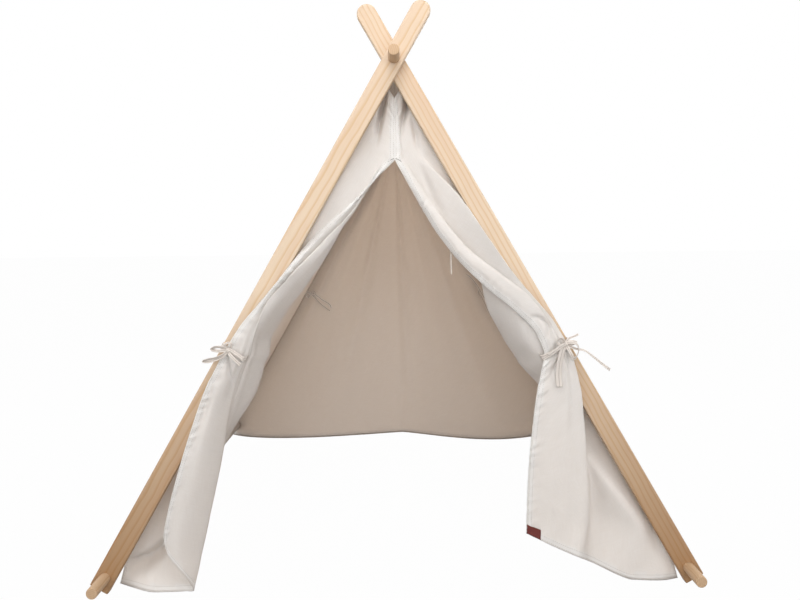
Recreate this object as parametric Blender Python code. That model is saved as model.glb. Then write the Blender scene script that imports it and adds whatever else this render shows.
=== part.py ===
"""A-frame play tent: crossed boards, round poles and a cotton cover with tied-back door flaps.

Metres, +Z up. The tent's width runs along X, its depth along Y with the door at -Y, and the floor is
z = 0. Points of the cover are given beside a board as (down, out, y): down is measured along the board
from the ridge pole's axis, out is square to it and positive outside the tent, and y is the world's.
"""

import math

import bmesh
import bpy
import numpy as np
from mathutils import Matrix, Vector

# Boards: planed softwood, the top end a full half circle and the foot sawn square
BOARD_LENGTH = 1.500
BOARD_WIDTH = 0.045
BOARD_THICKNESS = 0.019
BOARD_EDGE_ROUND = 0.003
BOARD_TILT = math.radians(29.6)
RIDGE_HOLE_FROM_TOP = 0.145
GROUND_HOLE_FROM_FOOT = 0.028
BOARD_PAIR_GAP = 0.0005
FRAME_DEPTH = 1.090

# Poles: round dowels that stand proud of the boards at both ends
POLE_RADIUS = 0.0125
POLE_HOLE_CLEARANCE = 0.0003
POLE_OVERHANG = 0.055
POLE_END_ROUND = 0.0018

# Cover: cotton canvas, drawn thicker than the weave so that it stays a solid
CLOTH_THICKNESS = 0.0015
SEAT_GAP = 0.0003
TUNNEL_EASE = 0.0006
TUNNEL_SEAM_HEIGHT = 0.045
CLOTH_TO_BOARD = 0.0035
SIDE_SAG = 0.012
SIDE_RIPPLE = 0.004
SIDE_RIPPLES = 3
HEM_CLEARANCE = 0.0015

# Rear wall: two broad folds that hang inwards and meet near the middle
BACK_LEFT_BILLOW = 0.060
BACK_RIGHT_BILLOW = 0.098
BACK_BILLOW_GROWTH = 1.3
BACK_MEETING = 0.03

# Door: sewn shut below the ridge, open below that, and tied to the front boards
DOOR_TOP_BELOW_RIDGE = 0.2222
SEAM_HALF_GAP = 0.0003
TIE_FROM_RIDGE = 0.750
TIE_NECK = 0.016

# Ties, closing tape and label
TAPE_WIDTH = 0.009
TAPE_THICKNESS = 0.0012
KNOT_SIZE = (0.015, 0.009, 0.013)
DOOR_TAPE_LENGTH = 0.066
DOOR_TAPE_WIDTH = 0.005
LABEL_WIDTH = 0.034
LABEL_HEIGHT = 0.020
LABEL_THICKNESS = 0.0008

# Facets
POLE_SIDES = 32
BOARD_END_STEPS = 16
EDGE_STEPS = 2

# What follows from the sizes above
SIN_TILT = math.sin(BOARD_TILT)
COS_TILT = math.cos(BOARD_TILT)
FOOT_FROM_RIDGE = BOARD_LENGTH - RIDGE_HOLE_FROM_TOP
GROUND_FROM_RIDGE = FOOT_FROM_RIDGE - GROUND_HOLE_FROM_FOOT
RIDGE_HEIGHT = FOOT_FROM_RIDGE * COS_TILT + BOARD_WIDTH / 2 * SIN_TILT
OUTER_FACE = FRAME_DEPTH / 2
INNER_BOARD_FACE = OUTER_FACE - BOARD_THICKNESS - BOARD_PAIR_GAP
CLOTH_END = INNER_BOARD_FACE - BOARD_THICKNESS - CLOTH_TO_BOARD
TUNNEL_INSIDE = POLE_RADIUS + TUNNEL_EASE
TUNNEL_MIDDLE = TUNNEL_INSIDE + CLOTH_THICKNESS / 2
TUNNEL_OUTSIDE = TUNNEL_INSIDE + CLOTH_THICKNESS
CORNER_OUT = TUNNEL_INSIDE - CLOTH_THICKNESS / 2 - 1.5 * SEAT_GAP
LEFT, RIGHT = -1, 1


def beside_board(side, down, out, y):
    """World position of a point given beside the board whose foot is on that side."""
    return Vector(
        (
            side * (down * SIN_TILT + out * COS_TILT),
            y,
            RIDGE_HEIGHT - down * COS_TILT + out * SIN_TILT,
        )
    )


def down_out(x, z):
    """The down and out of a point x from the tent's middle and z above the floor."""
    drop = RIDGE_HEIGHT - z
    return x * SIN_TILT + drop * COS_TILT, x * COS_TILT - drop * SIN_TILT


def linear(hex_colour):
    """An sRGB colour such as 'e0c6a5' as linear red, green, blue and alpha."""
    values = [int(hex_colour[i : i + 2], 16) / 255 for i in (0, 2, 4)]
    return [v / 12.92 if v <= 0.04045 else ((v + 0.055) / 1.055) ** 2.4 for v in values] + [1.0]


def material(name, hex_colour, roughness):
    made = bpy.data.materials.new(name)
    made.use_nodes = True
    shader = made.node_tree.nodes["Principled BSDF"]
    shader.inputs["Base Color"].default_value = linear(hex_colour)
    shader.inputs["Roughness"].default_value = roughness
    shader.inputs["Metallic"].default_value = 0.0
    return made


def add_object(name, mesh_source, surface, location=(0, 0, 0), rotation=(0, 0, 0), parent=None):
    """An object from a bmesh, in the collection, shaded smooth where its facets meet gently."""
    mesh = bpy.data.meshes.new(name)
    mesh_source.to_mesh(mesh)
    mesh_source.free()
    mesh.shade_smooth()
    mesh.set_sharp_from_angle(angle=math.radians(35))
    made = bpy.data.objects.new(name, mesh)
    bpy.context.collection.objects.link(made)
    made.location = location
    made.rotation_euler = rotation
    if surface is not None:
        mesh.materials.append(surface)
    if parent is not None:
        made.parent = parent
        made.matrix_parent_inverse = Matrix.Translation(-parent.location)
    return made


def pole_mesh(radius, length, end_round):
    """A round bar centred on the origin along Y, its ends eased over."""
    bar = bmesh.new()
    bmesh.ops.create_cone(
        bar, cap_ends=True, segments=POLE_SIDES, radius1=radius, radius2=radius, depth=length
    )
    if end_round > 0:
        rims = [e for e in bar.edges if abs(e.verts[0].co.z - e.verts[1].co.z) < length / 2]
        bmesh.ops.bevel(
            bar, geom=rims, offset=end_round, affect="EDGES", segments=EDGE_STEPS, profile=0.5, material=-1
        )
    bmesh.ops.rotate(bar, cent=(0, 0, 0), matrix=Matrix.Rotation(math.pi / 2, 3, "X"), verts=bar.verts)
    return bar


def pole(name, down, side, y_front, y_rear, surface, parent):
    place = beside_board(side, down, 0, (y_front + y_rear) / 2)
    bar = pole_mesh(POLE_RADIUS, y_rear - y_front, POLE_END_ROUND)
    bmesh.ops.translate(bar, vec=place, verts=bar.verts)
    return add_object(name, bar, surface, parent=parent)


def bore_cutter(name, down, side):
    """The drill that makes one line of pole holes, through every board that it crosses."""
    bar = pole_mesh(POLE_RADIUS + POLE_HOLE_CLEARANCE, FRAME_DEPTH + 4 * POLE_OVERHANG, 0)
    cutter = add_object(name, bar, None, location=beside_board(side, down, 0, 0))
    cutter.hide_render = True
    cutter.display_type = "WIRE"
    return cutter


def board(name, side, y_near, cutters, surface, parent):
    """A board with its foot on the given side, its near face at y_near and its holes cut."""
    half = BOARD_WIDTH / 2
    arc_centre = RIDGE_HOLE_FROM_TOP - half
    blank = bmesh.new()
    outline = [(-half, -FOOT_FROM_RIDGE), (half, -FOOT_FROM_RIDGE)]
    for step in range(BOARD_END_STEPS + 1):
        angle = math.pi * step / BOARD_END_STEPS
        outline.append((half * math.cos(angle), arc_centre + half * math.sin(angle)))
    corners = [blank.verts.new((x, 0, z)) for x, z in outline]
    face = blank.faces.new(corners)
    extruded = bmesh.ops.extrude_face_region(blank, geom=[face])
    moved = [v for v in extruded["geom"] if isinstance(v, bmesh.types.BMVert)]
    bmesh.ops.translate(blank, vec=(0, BOARD_THICKNESS, 0), verts=moved)
    bmesh.ops.recalc_face_normals(blank, faces=blank.faces)
    long_edges = [
        e
        for e in blank.edges
        if abs(e.verts[0].co.y - e.verts[1].co.y) < BOARD_THICKNESS / 2
        and max(v.co.z for v in e.verts) > -FOOT_FROM_RIDGE + half
    ]
    bmesh.ops.bevel(
        blank,
        geom=long_edges,
        offset=BOARD_EDGE_ROUND,
        affect="EDGES",
        segments=EDGE_STEPS,
        profile=0.5,
        material=-1,
    )
    place, turn = (0, y_near, RIDGE_HEIGHT), (0, -side * BOARD_TILT, 0)
    made = add_object(name, blank, surface, place, turn, parent)
    for cutter in cutters:
        cut = made.modifiers.new(cutter.name, "BOOLEAN")
        cut.operation = "DIFFERENCE"
        cut.solver = "EXACT"
        cut.object = cutter
    return made


def cloth(name, rows, columns, place, surface, thickness, parent=None):
    """A sheet of rows by columns points, put where place(row, column) says and given its thickness."""
    sheet = bmesh.new()
    bmesh.ops.create_grid(sheet, x_segments=columns - 1, y_segments=rows - 1, size=0.5)
    for vert in sheet.verts:
        column = round((vert.co.x + 0.5) * (columns - 1))
        row = round((vert.co.y + 0.5) * (rows - 1))
        vert.co = place(row, column)
    made = add_object(name, sheet, surface, parent=parent)
    shell = made.modifiers.new("thickness", "SOLIDIFY")
    shell.thickness = thickness
    shell.offset = 0
    shell.use_even_offset = True
    return made


def hermite(points, at):
    """Values at fractional positions along rows of points, smooth and without overshoot."""
    points = np.asarray(points, float)
    steps = np.diff(points, axis=0)
    slopes = np.zeros_like(points)
    same_way = steps[:-1] * steps[1:] > 0
    total = np.where(same_way, steps[:-1] + steps[1:], 1.0)
    slopes[1:-1] = np.where(same_way, 2 * steps[:-1] * steps[1:] / total, 0.0)
    slopes[0], slopes[-1] = steps[0], steps[-1]
    i = min(int(at), len(points) - 2)
    t = at - i
    return (
        (2 * t**3 - 3 * t**2 + 1) * points[i]
        + (t**3 - 2 * t**2 + t) * slopes[i]
        + (3 * t**2 - 2 * t**3) * points[i + 1]
        + (t**3 - t**2) * slopes[i + 1]
    )


def through(points, at):
    """Values at fractional positions along points, on a curve that rounds each bend."""
    points = np.asarray(points, float)
    i = min(int(at), len(points) - 2)
    t = at - i
    before = points[i - 1] if i > 0 else 2 * points[0] - points[1]
    after = points[i + 2] if i + 2 < len(points) else 2 * points[-1] - points[-2]
    near, far = (points[i + 1] - before) / 2, (after - points[i]) / 2
    return (
        (2 * t**3 - 3 * t**2 + 1) * points[i]
        + (t**3 - 2 * t**2 + t) * near
        + (3 * t**2 - 2 * t**3) * points[i + 1]
        + (t**3 - t**2) * far
    )


def side_panel_path():
    """The side panel's cross-section as (down, out): ridge, slope, round the ground pole, seam."""
    top = math.sqrt((TUNNEL_OUTSIDE + SEAT_GAP) ** 2 - TUNNEL_INSIDE**2)
    slope_steps, round_steps = 11, 11
    path = [
        (top + (GROUND_FROM_RIDGE - top) * i / slope_steps, TUNNEL_MIDDLE) for i in range(slope_steps)
    ]
    seam = (-TUNNEL_SEAM_HEIGHT, TUNNEL_INSIDE - SEAT_GAP - CLOTH_THICKNESS / 2)
    reach = math.hypot(*seam)
    leaves = math.atan2(seam[1], seam[0]) + math.acos(TUNNEL_MIDDLE / reach) - 2 * math.pi
    for i in range(round_steps + 1):
        angle = math.pi / 2 + (leaves - math.pi / 2) * i / round_steps
        path.append(
            (
                GROUND_FROM_RIDGE + TUNNEL_MIDDLE * math.cos(angle),
                TUNNEL_MIDDLE * math.sin(angle),
            )
        )
    path.append((GROUND_FROM_RIDGE + seam[0], seam[1]))
    return path


def side_panel(name, side, surface, parent):
    """A roof panel from the ridge to its ground pole, a little slack between the two."""
    path = side_panel_path()
    columns = 13

    def place(row, column):
        down, out = path[row]
        across = column / (columns - 1)
        y = CLOTH_END * (2 * across - 1)
        along = min(max(down / GROUND_FROM_RIDGE, 0), 1)
        if row < 11:
            slack = math.sin(math.pi * along) ** 2 * math.sin(math.pi * across) ** 2
            ripple = math.cos(2 * math.pi * SIDE_RIPPLES * across + 0.8 * side)
            out -= slack * (SIDE_SAG + SIDE_RIPPLE * ripple)
        return beside_board(side, down, out, y)

    return cloth(name, len(path), columns, place, surface, CLOTH_THICKNESS, parent)


def ridge_sleeve(surface, parent):
    """The cover's tunnel round the ridge pole."""
    tube = bmesh.new()
    bmesh.ops.create_cone(
        tube,
        cap_ends=False,
        segments=POLE_SIDES,
        radius1=TUNNEL_MIDDLE,
        radius2=TUNNEL_MIDDLE,
        depth=2 * CLOTH_END,
    )
    bmesh.ops.rotate(tube, cent=(0, 0, 0), matrix=Matrix.Rotation(math.pi / 2, 3, "X"), verts=tube.verts)
    made = add_object("ridge_sleeve", tube, surface, (0, 0, RIDGE_HEIGHT), parent=parent)
    shell = made.modifiers.new("thickness", "SOLIDIFY")
    shell.thickness = CLOTH_THICKNESS
    shell.offset = 0
    shell.use_even_offset = True
    return made


def back_fold(across):
    """How far the rear wall hangs inwards at its hem, across from -1 at the left to 1 at the right."""
    if across < BACK_MEETING:
        part = (across + 1) / (1 + BACK_MEETING)
        return BACK_LEFT_BILLOW * math.sin(math.pi * min(max(part, 0), 1) ** 0.65)
    part = (across - BACK_MEETING) / (1 - BACK_MEETING)
    return BACK_RIGHT_BILLOW * math.sin(math.pi * min(part, 1) ** 1.15)


def back_edge(fraction):
    """The rear wall's sloping edge as x and z, from the ridge at 0 to the floor at 1."""
    top_drop = TUNNEL_OUTSIDE + SEAT_GAP
    top_down = top_drop * COS_TILT + (CORNER_OUT + top_drop * SIN_TILT) / COS_TILT * SIN_TILT
    floor_down, floor_out = down_out(FOOT_FROM_RIDGE * SIN_TILT + 0.006, HEM_CLEARANCE)
    narrows = GROUND_FROM_RIDGE - TUNNEL_SEAM_HEIGHT
    down = top_down + (floor_down - top_down) * fraction
    share = min(max((down - narrows) / (floor_down - narrows), 0), 1)
    corner = beside_board(RIGHT, down, CORNER_OUT + (floor_out - CORNER_OUT) * share, 0)
    return corner.x, corner.z


def back_panel(cutters, surface, parent):
    """The triangular rear wall between the side panels, cut away round the ground tunnels."""
    rows, columns = 15, 21

    def place(row, column):
        fraction = row / (rows - 1)
        half_width, height = back_edge(fraction)
        across = 2 * column / (columns - 1) - 1
        inwards = back_fold(across) * fraction**BACK_BILLOW_GROWTH
        return Vector((across * half_width, CLOTH_END - CLOTH_THICKNESS - inwards, height))

    made = cloth("back_panel", rows, columns, place, surface, CLOTH_THICKNESS, parent)
    for cutter in cutters:
        cut = made.modifiers.new(cutter.name, "BOOLEAN")
        cut.operation = "DIFFERENCE"
        cut.solver = "EXACT"
        cut.object = cutter
    return made


def tunnel_cutter(name, side):
    """The room that a ground tunnel takes, by which the rear wall's corner is cut back."""
    outline = bmesh.new()
    spare = 2 * SEAT_GAP
    seam_down = GROUND_FROM_RIDGE - TUNNEL_SEAM_HEIGHT - 2 * spare
    points = [(seam_down, TUNNEL_INSIDE + BOARD_WIDTH)]
    points.append((seam_down, CORNER_OUT - CLOTH_THICKNESS - spare))
    room = TUNNEL_OUTSIDE + 2 * spare
    for i in range(13):
        angle = math.radians(215 * i / 12 - 125)
        points.append((GROUND_FROM_RIDGE + room * math.cos(angle), room * math.sin(angle)))
    points.append((FOOT_FROM_RIDGE, TUNNEL_INSIDE + BOARD_WIDTH))
    corners = [outline.verts.new(beside_board(side, d, o, 0)) for d, o in points]
    face = outline.faces.new(corners)
    extruded = bmesh.ops.extrude_face_region(outline, geom=[face])
    moved = [v for v in extruded["geom"] if isinstance(v, bmesh.types.BMVert)]
    bmesh.ops.translate(outline, vec=(0, FRAME_DEPTH, 0), verts=moved)
    bmesh.ops.recalc_face_normals(outline, faces=outline.faces)
    cutter = add_object(name, outline, None)
    cutter.hide_render = True
    cutter.display_type = "WIRE"
    return cutter


def flap_lines(side):
    """The fold lines of a door flap, corner seam first and free edge last.

    Each line holds one (down, out, y) for every station: its top under the ridge, the door's top,
    two down the opening, one above the tie, both ends of the gathered neck, three below it and the hem.
    """
    inner = -BOARD_WIDTH / 2
    cloth_y = -CLOTH_END + CLOTH_THICKNESS
    back_y = -OUTER_FACE + BOARD_THICKNESS if side == LEFT else -INNER_BOARD_FACE + BOARD_THICKNESS
    front_y = back_y - BOARD_THICKNESS
    neck = TIE_NECK / 2
    tie = TIE_FROM_RIDGE
    rest = GROUND_FROM_RIDGE - tie
    top = TUNNEL_OUTSIDE + 0.024
    door_down, door_out = down_out(0, RIDGE_HEIGHT - DOOR_TOP_BELOW_RIDGE)
    top_down, top_out = down_out(0, RIDGE_HEIGHT - top)
    corner_down, corner_out = down_out(FOOT_FROM_RIDGE * SIN_TILT - 0.030, HEM_CLEARANCE)

    def upper(share):
        """How far down a share of the way from the door's top to the tie lies."""
        return door_down + share * (tie - door_down)

    def lower(share):
        """How far down a share of the way from the tie to the ground pole lies."""
        return tie + share * rest

    def at_neck(out, y):
        """Both ends of the gathered neck under the tie."""
        return (tie - neck, out, y), (tie + neck, out, y)

    def at_floor(x_from_corner, y, height=HEM_CLEARANCE):
        down, out = down_out(FOOT_FROM_RIDGE * SIN_TILT - x_from_corner, height)
        return down, out, y

    def top_rows(share, rise):
        """The first two stations of a line that lies this share of the way to the middle seam."""
        return [
            (top_down + 0.004 * (1 - share), CORNER_OUT + (top_out - CORNER_OUT) * share, cloth_y + rise / 2),
            (door_down + 0.022 * (1 - share), CORNER_OUT + (door_out - CORNER_OUT) * share, cloth_y + rise),
        ]

    corner = top_rows(0, 0) + [
        (down, CORNER_OUT, cloth_y)
        for down in (
            upper(0.425),
            upper(0.749),
            upper(0.892),
            tie - neck,
            tie + neck,
            lower(0.16),
            lower(0.43),
            lower(0.74),
        )
    ]
    corner.append((corner_down, corner_out, cloth_y - 0.004))

    if side == LEFT:
        trough = top_rows(0.25, 0.010) + [
            (upper(0.425), -0.006, cloth_y + 0.012),
            (upper(0.758), 0.000, cloth_y + 0.010),
            (upper(0.892), -0.004, cloth_y + 0.008),
            *at_neck(-0.008, cloth_y + 0.006),
            (lower(0.16), -0.006, cloth_y + 0.020),
            (lower(0.43), -0.004, cloth_y + 0.045),
            (lower(0.74), -0.015, cloth_y + 0.050),
            at_floor(0.065, cloth_y - 0.020),
        ]
        crest = top_rows(0.50, 0.004) + [
            (upper(0.429), -0.024, cloth_y + 0.002),
            (upper(0.767), -0.012, cloth_y + 0.004),
            (upper(0.892), -0.020, cloth_y + 0.002),
            *at_neck(-0.024, cloth_y - 0.001),
            (lower(0.16), -0.028, cloth_y + 0.024),
            (lower(0.43), -0.040, cloth_y + 0.060),
            (lower(0.76), -0.070, cloth_y + 0.050),
            at_floor(0.112, cloth_y - 0.038),
        ]
        groove = top_rows(0.72, 0.005) + [
            (upper(0.436), -0.044, cloth_y + 0.006),
            (upper(0.776), inner - 0.004, cloth_y - 0.006),
            (upper(0.892), inner - 0.008, back_y + 0.011),
            *at_neck(inner - 0.009, back_y + 0.008),
            (lower(0.16), inner - 0.022, back_y + 0.026),
            (lower(0.43), -0.085, back_y + 0.051),
            (lower(0.76), -0.125, back_y + 0.041),
            at_floor(0.151, cloth_y - 0.039),
        ]
        fold = top_rows(0.87, 0.002) + [
            (upper(0.441), -0.066, cloth_y - 0.002),
            (upper(0.802), inner - 0.009, back_y + 0.002),
            (upper(0.892), inner - 0.010, back_y - 0.007),
            *at_neck(inner - 0.0115, front_y + 0.003),
            (lower(0.16), inner - 0.0235, front_y + 0.013),
            (lower(0.43), -0.099, front_y + 0.030),
            (lower(0.76), -0.160, front_y + 0.025),
            at_floor(0.209, cloth_y - 0.036),
        ]
        lapel = top_rows(0.95, 0.001) + [
            (upper(0.440), -0.0645, cloth_y - 0.008),
            (upper(0.788), inner - 0.0065, front_y + 0.001),
            (upper(0.892), inner + 0.001, front_y - 0.0072),
            *at_neck(inner + 0.0025, front_y - 0.008),
            (lower(0.15), inner + 0.002, front_y - 0.0115),
            (lower(0.42), -0.062, front_y - 0.011),
            (lower(0.73), -0.112, front_y - 0.013),
            at_floor(0.196, front_y - 0.011, 0.048),
        ]
        free = top_rows(1.0, 0.0) + [
            (upper(0.432), -0.057, cloth_y - 0.012),
            (upper(0.770), inner - 0.003, front_y - 0.0045),
            (upper(0.892), inner + 0.0165, front_y - 0.0065),
            *at_neck(0.006, front_y - 0.006),
            (lower(0.14), 0.008, front_y - 0.011),
            (lower(0.39), -0.018, front_y - 0.018),
            (lower(0.66), -0.058, front_y - 0.021),
            at_floor(0.150, front_y - 0.020, 0.109),
        ]
        return [corner, trough, crest, groove, fold, lapel, free]

    trough = top_rows(0.25, 0.008) + [
        (upper(0.425), -0.006, cloth_y + 0.006),
        (upper(0.731), 0.000, cloth_y + 0.003),
        (upper(0.892), -0.010, cloth_y + 0.001),
        *at_neck(-0.018, cloth_y + 0.001),
        (lower(0.16), -0.008, cloth_y + 0.018),
        (lower(0.43), -0.006, cloth_y + 0.045),
        (lower(0.76), -0.010, cloth_y + 0.034),
        at_floor(0.073, cloth_y - 0.013),
    ]
    ridge = top_rows(0.50, 0.003) + [
        (upper(0.416), -0.030, cloth_y - 0.001),
        (upper(0.731), -0.011, cloth_y + 0.001),
        (upper(0.892), inner - 0.005, back_y - 0.002),
        *at_neck(inner - 0.0075, back_y - 0.011),
        (lower(0.16), inner - 0.0075, back_y - 0.006),
        (lower(0.46), -0.0545, back_y - 0.0015),
        (lower(0.74), -0.050, back_y - 0.004),
        at_floor(0.139, cloth_y - 0.009),
    ]
    hidden = top_rows(0.70, 0.004) + [
        (upper(0.425), -0.0565, cloth_y + 0.010),
        (upper(0.731), inner - 0.002, cloth_y + 0.008),
        (upper(0.892), inner - 0.0065, back_y - 0.013),
        *at_neck(inner - 0.005, front_y - 0.004),
        (lower(0.16), inner - 0.0075, front_y - 0.003),
        (lower(0.47), -0.080, back_y + 0.016),
        (lower(0.68), -0.125, back_y + 0.026),
        at_floor(0.221, cloth_y + 0.001, 0.034),
    ]
    front_fold = top_rows(0.85, 0.001) + [
        (upper(0.429), -0.075, cloth_y - 0.006),
        (upper(0.740), -0.040, cloth_y - 0.010),
        (upper(0.892), inner - 0.0035, front_y - 0.007),
        *at_neck(0.010, front_y - 0.008),
        (lower(0.16), -0.008, front_y - 0.0105),
        (lower(0.48), -0.0935, front_y - 0.006),
        (lower(0.65), -0.150, front_y - 0.0065),
        at_floor(0.262, front_y - 0.0145, 0.068),
    ]
    middle = top_rows(0.94, 0.0) + [
        (upper(0.429), -0.090, cloth_y - 0.006),
        (upper(0.743), -0.053, cloth_y - 0.012),
        (upper(0.892), -0.034, front_y - 0.012),
        *at_neck(-0.012, front_y - 0.0145),
        (lower(0.14), -0.045, front_y - 0.0155),
        (lower(0.42), -0.145, front_y - 0.0125),
        (lower(0.57), -0.200, front_y - 0.0125),
        at_floor(upper(0.226), front_y - 0.0145, 0.093),
    ]
    free = top_rows(1.0, 0.0) + [
        (upper(0.429), -0.1015, cloth_y + 0.002),
        (upper(0.747), -0.065, cloth_y - 0.005),
        (upper(0.892), -0.040, front_y - 0.0045),
        *at_neck(-0.034, front_y - 0.0135),
        (lower(0.09), -0.0953, front_y - 0.0155),
        (lower(0.31), -0.190, front_y - 0.0145),
        (lower(0.47), -0.250, front_y - 0.0145),
        at_floor(upper(0.343), front_y - 0.0145, 0.125),
    ]
    return [corner, trough, ridge, hidden, front_fold, middle, free]


def flap_point(side, lines, station, line):
    """A point of a door flap, at a fractional station down it and a fractional line across it."""
    down_lines = []
    for points in lines:
        if station <= 1:
            values = (1 - station) * np.array(points[0]) + station * np.array(points[1])
        else:
            values = hermite(points[1:], station - 1)
        down_lines.append(values)
    down, out, y = through(down_lines, line)
    place = beside_board(side, down, out, y)
    place.x = side * max(side * place.x, SEAM_HALF_GAP)
    place.z = max(place.z, HEM_CLEARANCE)
    return place


FLAP_ROWS_PER_STATION = (3, 4, 4, 3, 2, 1, 3, 4, 4, 3)


def flap_stations():
    """Fractional stations of the flap's rows, closer together where it bends more."""
    stations = [0.0]
    for first, steps in enumerate(FLAP_ROWS_PER_STATION):
        stations += [first + (i + 1) / steps for i in range(steps)]
    return stations


def door_flap(name, side, surface, parent):
    lines = flap_lines(side)
    stations = flap_stations()
    columns = 17

    def place(row, column):
        return flap_point(side, lines, stations[row], 6 * column / (columns - 1))

    return cloth(name, len(stations), columns, place, surface, CLOTH_THICKNESS, parent)


def ribbon(points, width_way, width, thickness):
    """A tape along points, its flat side across width_way, as a closed bmesh."""
    tape = bmesh.new()
    rings = []
    for i, point in enumerate(points):
        ahead = points[min(i + 1, len(points) - 1)] - points[max(i - 1, 0)]
        wide = (width_way - ahead * width_way.dot(ahead) / ahead.dot(ahead)).normalized()
        thick = ahead.cross(wide).normalized()
        corners = ((-1, -1), (1, -1), (1, 1), (-1, 1))
        rings.append(
            [
                tape.verts.new(point + wide * (a * width / 2) + thick * (b * thickness / 2))
                for a, b in corners
            ]
        )
    for near, far in zip(rings, rings[1:]):
        for k in range(4):
            tape.faces.new((near[k], near[(k + 1) % 4], far[(k + 1) % 4], far[k]))
    tape.faces.new(rings[0])
    tape.faces.new(rings[-1])
    bmesh.ops.recalc_face_normals(tape, faces=tape.faces)
    return tape


def curve_points(points, steps):
    """Points on a smooth curve through the given ones, steps to each stretch."""
    rows = [tuple(p) for p in points]
    count = (len(rows) - 1) * steps
    return [Vector(through(rows, i / steps)) for i in range(count + 1)]


def join_all(name, pieces, surface, parent):
    """One closed solid out of several closed meshes that run into each other."""
    base = add_object(name, pieces[0], surface, parent=parent)
    for number, piece in enumerate(pieces[1:]):
        helper = add_object(f"{name}_part_{number}", piece, None, parent=parent)
        helper.hide_render = True
        helper.display_type = "WIRE"
        union = base.modifiers.new(f"join_{number}", "BOOLEAN")
        union.operation = "UNION"
        union.solver = "EXACT"
        union.object = helper
    return base


def knot_mesh(centre, side):
    """A small rounded knot, turned with the board."""
    lump = bmesh.new()
    bmesh.ops.create_icosphere(lump, subdivisions=2, radius=0.5)
    bmesh.ops.scale(lump, vec=KNOT_SIZE, verts=lump.verts)
    bmesh.ops.rotate(
        lump, cent=(0, 0, 0), matrix=Matrix.Rotation(-side * BOARD_TILT, 3, "Y"), verts=lump.verts
    )
    bmesh.ops.translate(lump, vec=centre, verts=lump.verts)
    return lump


def front_tie(name, side, surface, parent):
    """The tape round a front board and the gathered flap, its bow in front of the board."""
    edge = BOARD_WIDTH / 2
    tie = TIE_FROM_RIDGE
    half_tape = TAPE_THICKNESS / 2
    back_y = -OUTER_FACE + BOARD_THICKNESS if side == LEFT else -INNER_BOARD_FACE + BOARD_THICKNESS
    front_y = back_y - BOARD_THICKNESS
    proud = 0.0108 if side == LEFT else 0.0172
    seam_y = -CLOTH_END - SEAT_GAP - half_tape
    outer = edge + 3 * SEAT_GAP + 2 * half_tape
    inside = -edge - 0.0152
    band = [
        (TUNNEL_MIDDLE - SEAT_GAP, seam_y),
        (edge - 0.002, max(back_y + half_tape + 3 * SEAT_GAP, seam_y - 0.012)),
        (outer, back_y - 0.004),
        (outer, front_y + 0.003),
        (edge - 0.004, front_y - proud * 0.6),
        (0.006, front_y - proud),
        (-edge - 0.005, front_y - proud),
        (inside, front_y - proud + 0.004),
        (inside, front_y + 0.004),
        (inside, back_y - 0.003),
    ]
    width_way = beside_board(side, 1, 0, 0) - beside_board(side, 0, 0, 0)
    path = curve_points([beside_board(side, tie, out, y) for out, y in band], 2)
    knot = beside_board(side, tie, 0.004, front_y - proud - 0.003)
    pieces = [ribbon(path, width_way, TAPE_WIDTH, TAPE_THICKNESS), knot_mesh(knot, side)]
    away = Vector((0, -1, 0))
    if side == LEFT:
        strands = [
            [(0, 0, 0), (-0.016, -0.006, 0.009), (-0.033, -0.004, 0.009)],
            [(0, 0, -0.002), (-0.022, -0.007, -0.007), (-0.050, -0.003, -0.012)],
            [(0, 0, 0), (0.002, -0.005, 0.013), (0.006, -0.003, 0.024)],
            [(0, 0, 0), (0.018, -0.004, -0.003), (0.036, 0.000, -0.013)],
            [(0, 0, -0.002), (0.014, -0.006, -0.012), (0.030, -0.003, -0.026)],
        ]
    else:
        strands = [
            [(0, 0, 0), (-0.014, -0.006, 0.006), (-0.030, -0.003, 0.014)],
            [(0, 0, -0.002), (-0.022, -0.007, -0.006), (-0.046, -0.003, -0.016)],
            [(0, 0, 0), (0.006, -0.005, 0.012), (0.018, -0.003, 0.024)],
            [(0, 0, 0), (0.020, -0.005, -0.006), (0.050, -0.004, -0.020), (0.098, -0.002, -0.056)],
            [(0, 0, -0.002), (0.004, -0.007, -0.014), (-0.004, -0.004, -0.028)],
        ]
    for strand in strands:
        points = curve_points([knot + Vector(step) for step in strand], 4)
        flat = (points[-1] - points[0]).cross(away)
        pieces.append(ribbon(points, flat, 0.8 * TAPE_WIDTH, 2 * TAPE_THICKNESS))
    return join_all(name, pieces, surface, parent)


def rear_tie(name, side, surface, parent):
    """The tape at a rear corner seam inside the tent, its ends hanging on the rear wall."""
    tie = TIE_FROM_RIDGE - 0.040
    seam_out = TUNNEL_INSIDE - 0.006
    seam_y = CLOTH_END - 0.020
    start = beside_board(side, tie, seam_out + 0.0051, seam_y)
    knot = beside_board(side, tie, seam_out - 0.014, seam_y - 0.006)
    root = curve_points([start, start.lerp(knot, 0.5) + Vector((0, -0.002, 0)), knot], 3)
    along = beside_board(side, 1, 0, 0) - beside_board(side, 0, 0, 0)
    pieces = [ribbon(root, along, TAPE_WIDTH, TAPE_THICKNESS), knot_mesh(knot, side)]
    if side == LEFT:
        ends = [[(0, 0, 0), (0.030, -0.012, -0.006), (0.088, -0.026, -0.074)]]
        ends.append([(0, 0, 0), (0.030, -0.008, 0.004), (0.060, -0.016, -0.016)])
    else:
        ends = [[(0, 0, 0), (-0.030, -0.012, 0.036), (-0.064, -0.018, 0.064)]]
        ends.append([(0, 0, 0), (0.008, -0.014, -0.050), (0.040, -0.030, -0.102)])
    for end in ends:
        points = curve_points([knot + Vector(step) for step in end], 4)
        flat = (points[-1] - points[0]).cross(Vector((0, 1, 0)))
        pieces.append(ribbon(points, flat, 0.8 * TAPE_WIDTH, 2 * TAPE_THICKNESS))
    return join_all(name, pieces, surface, parent)


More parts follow.
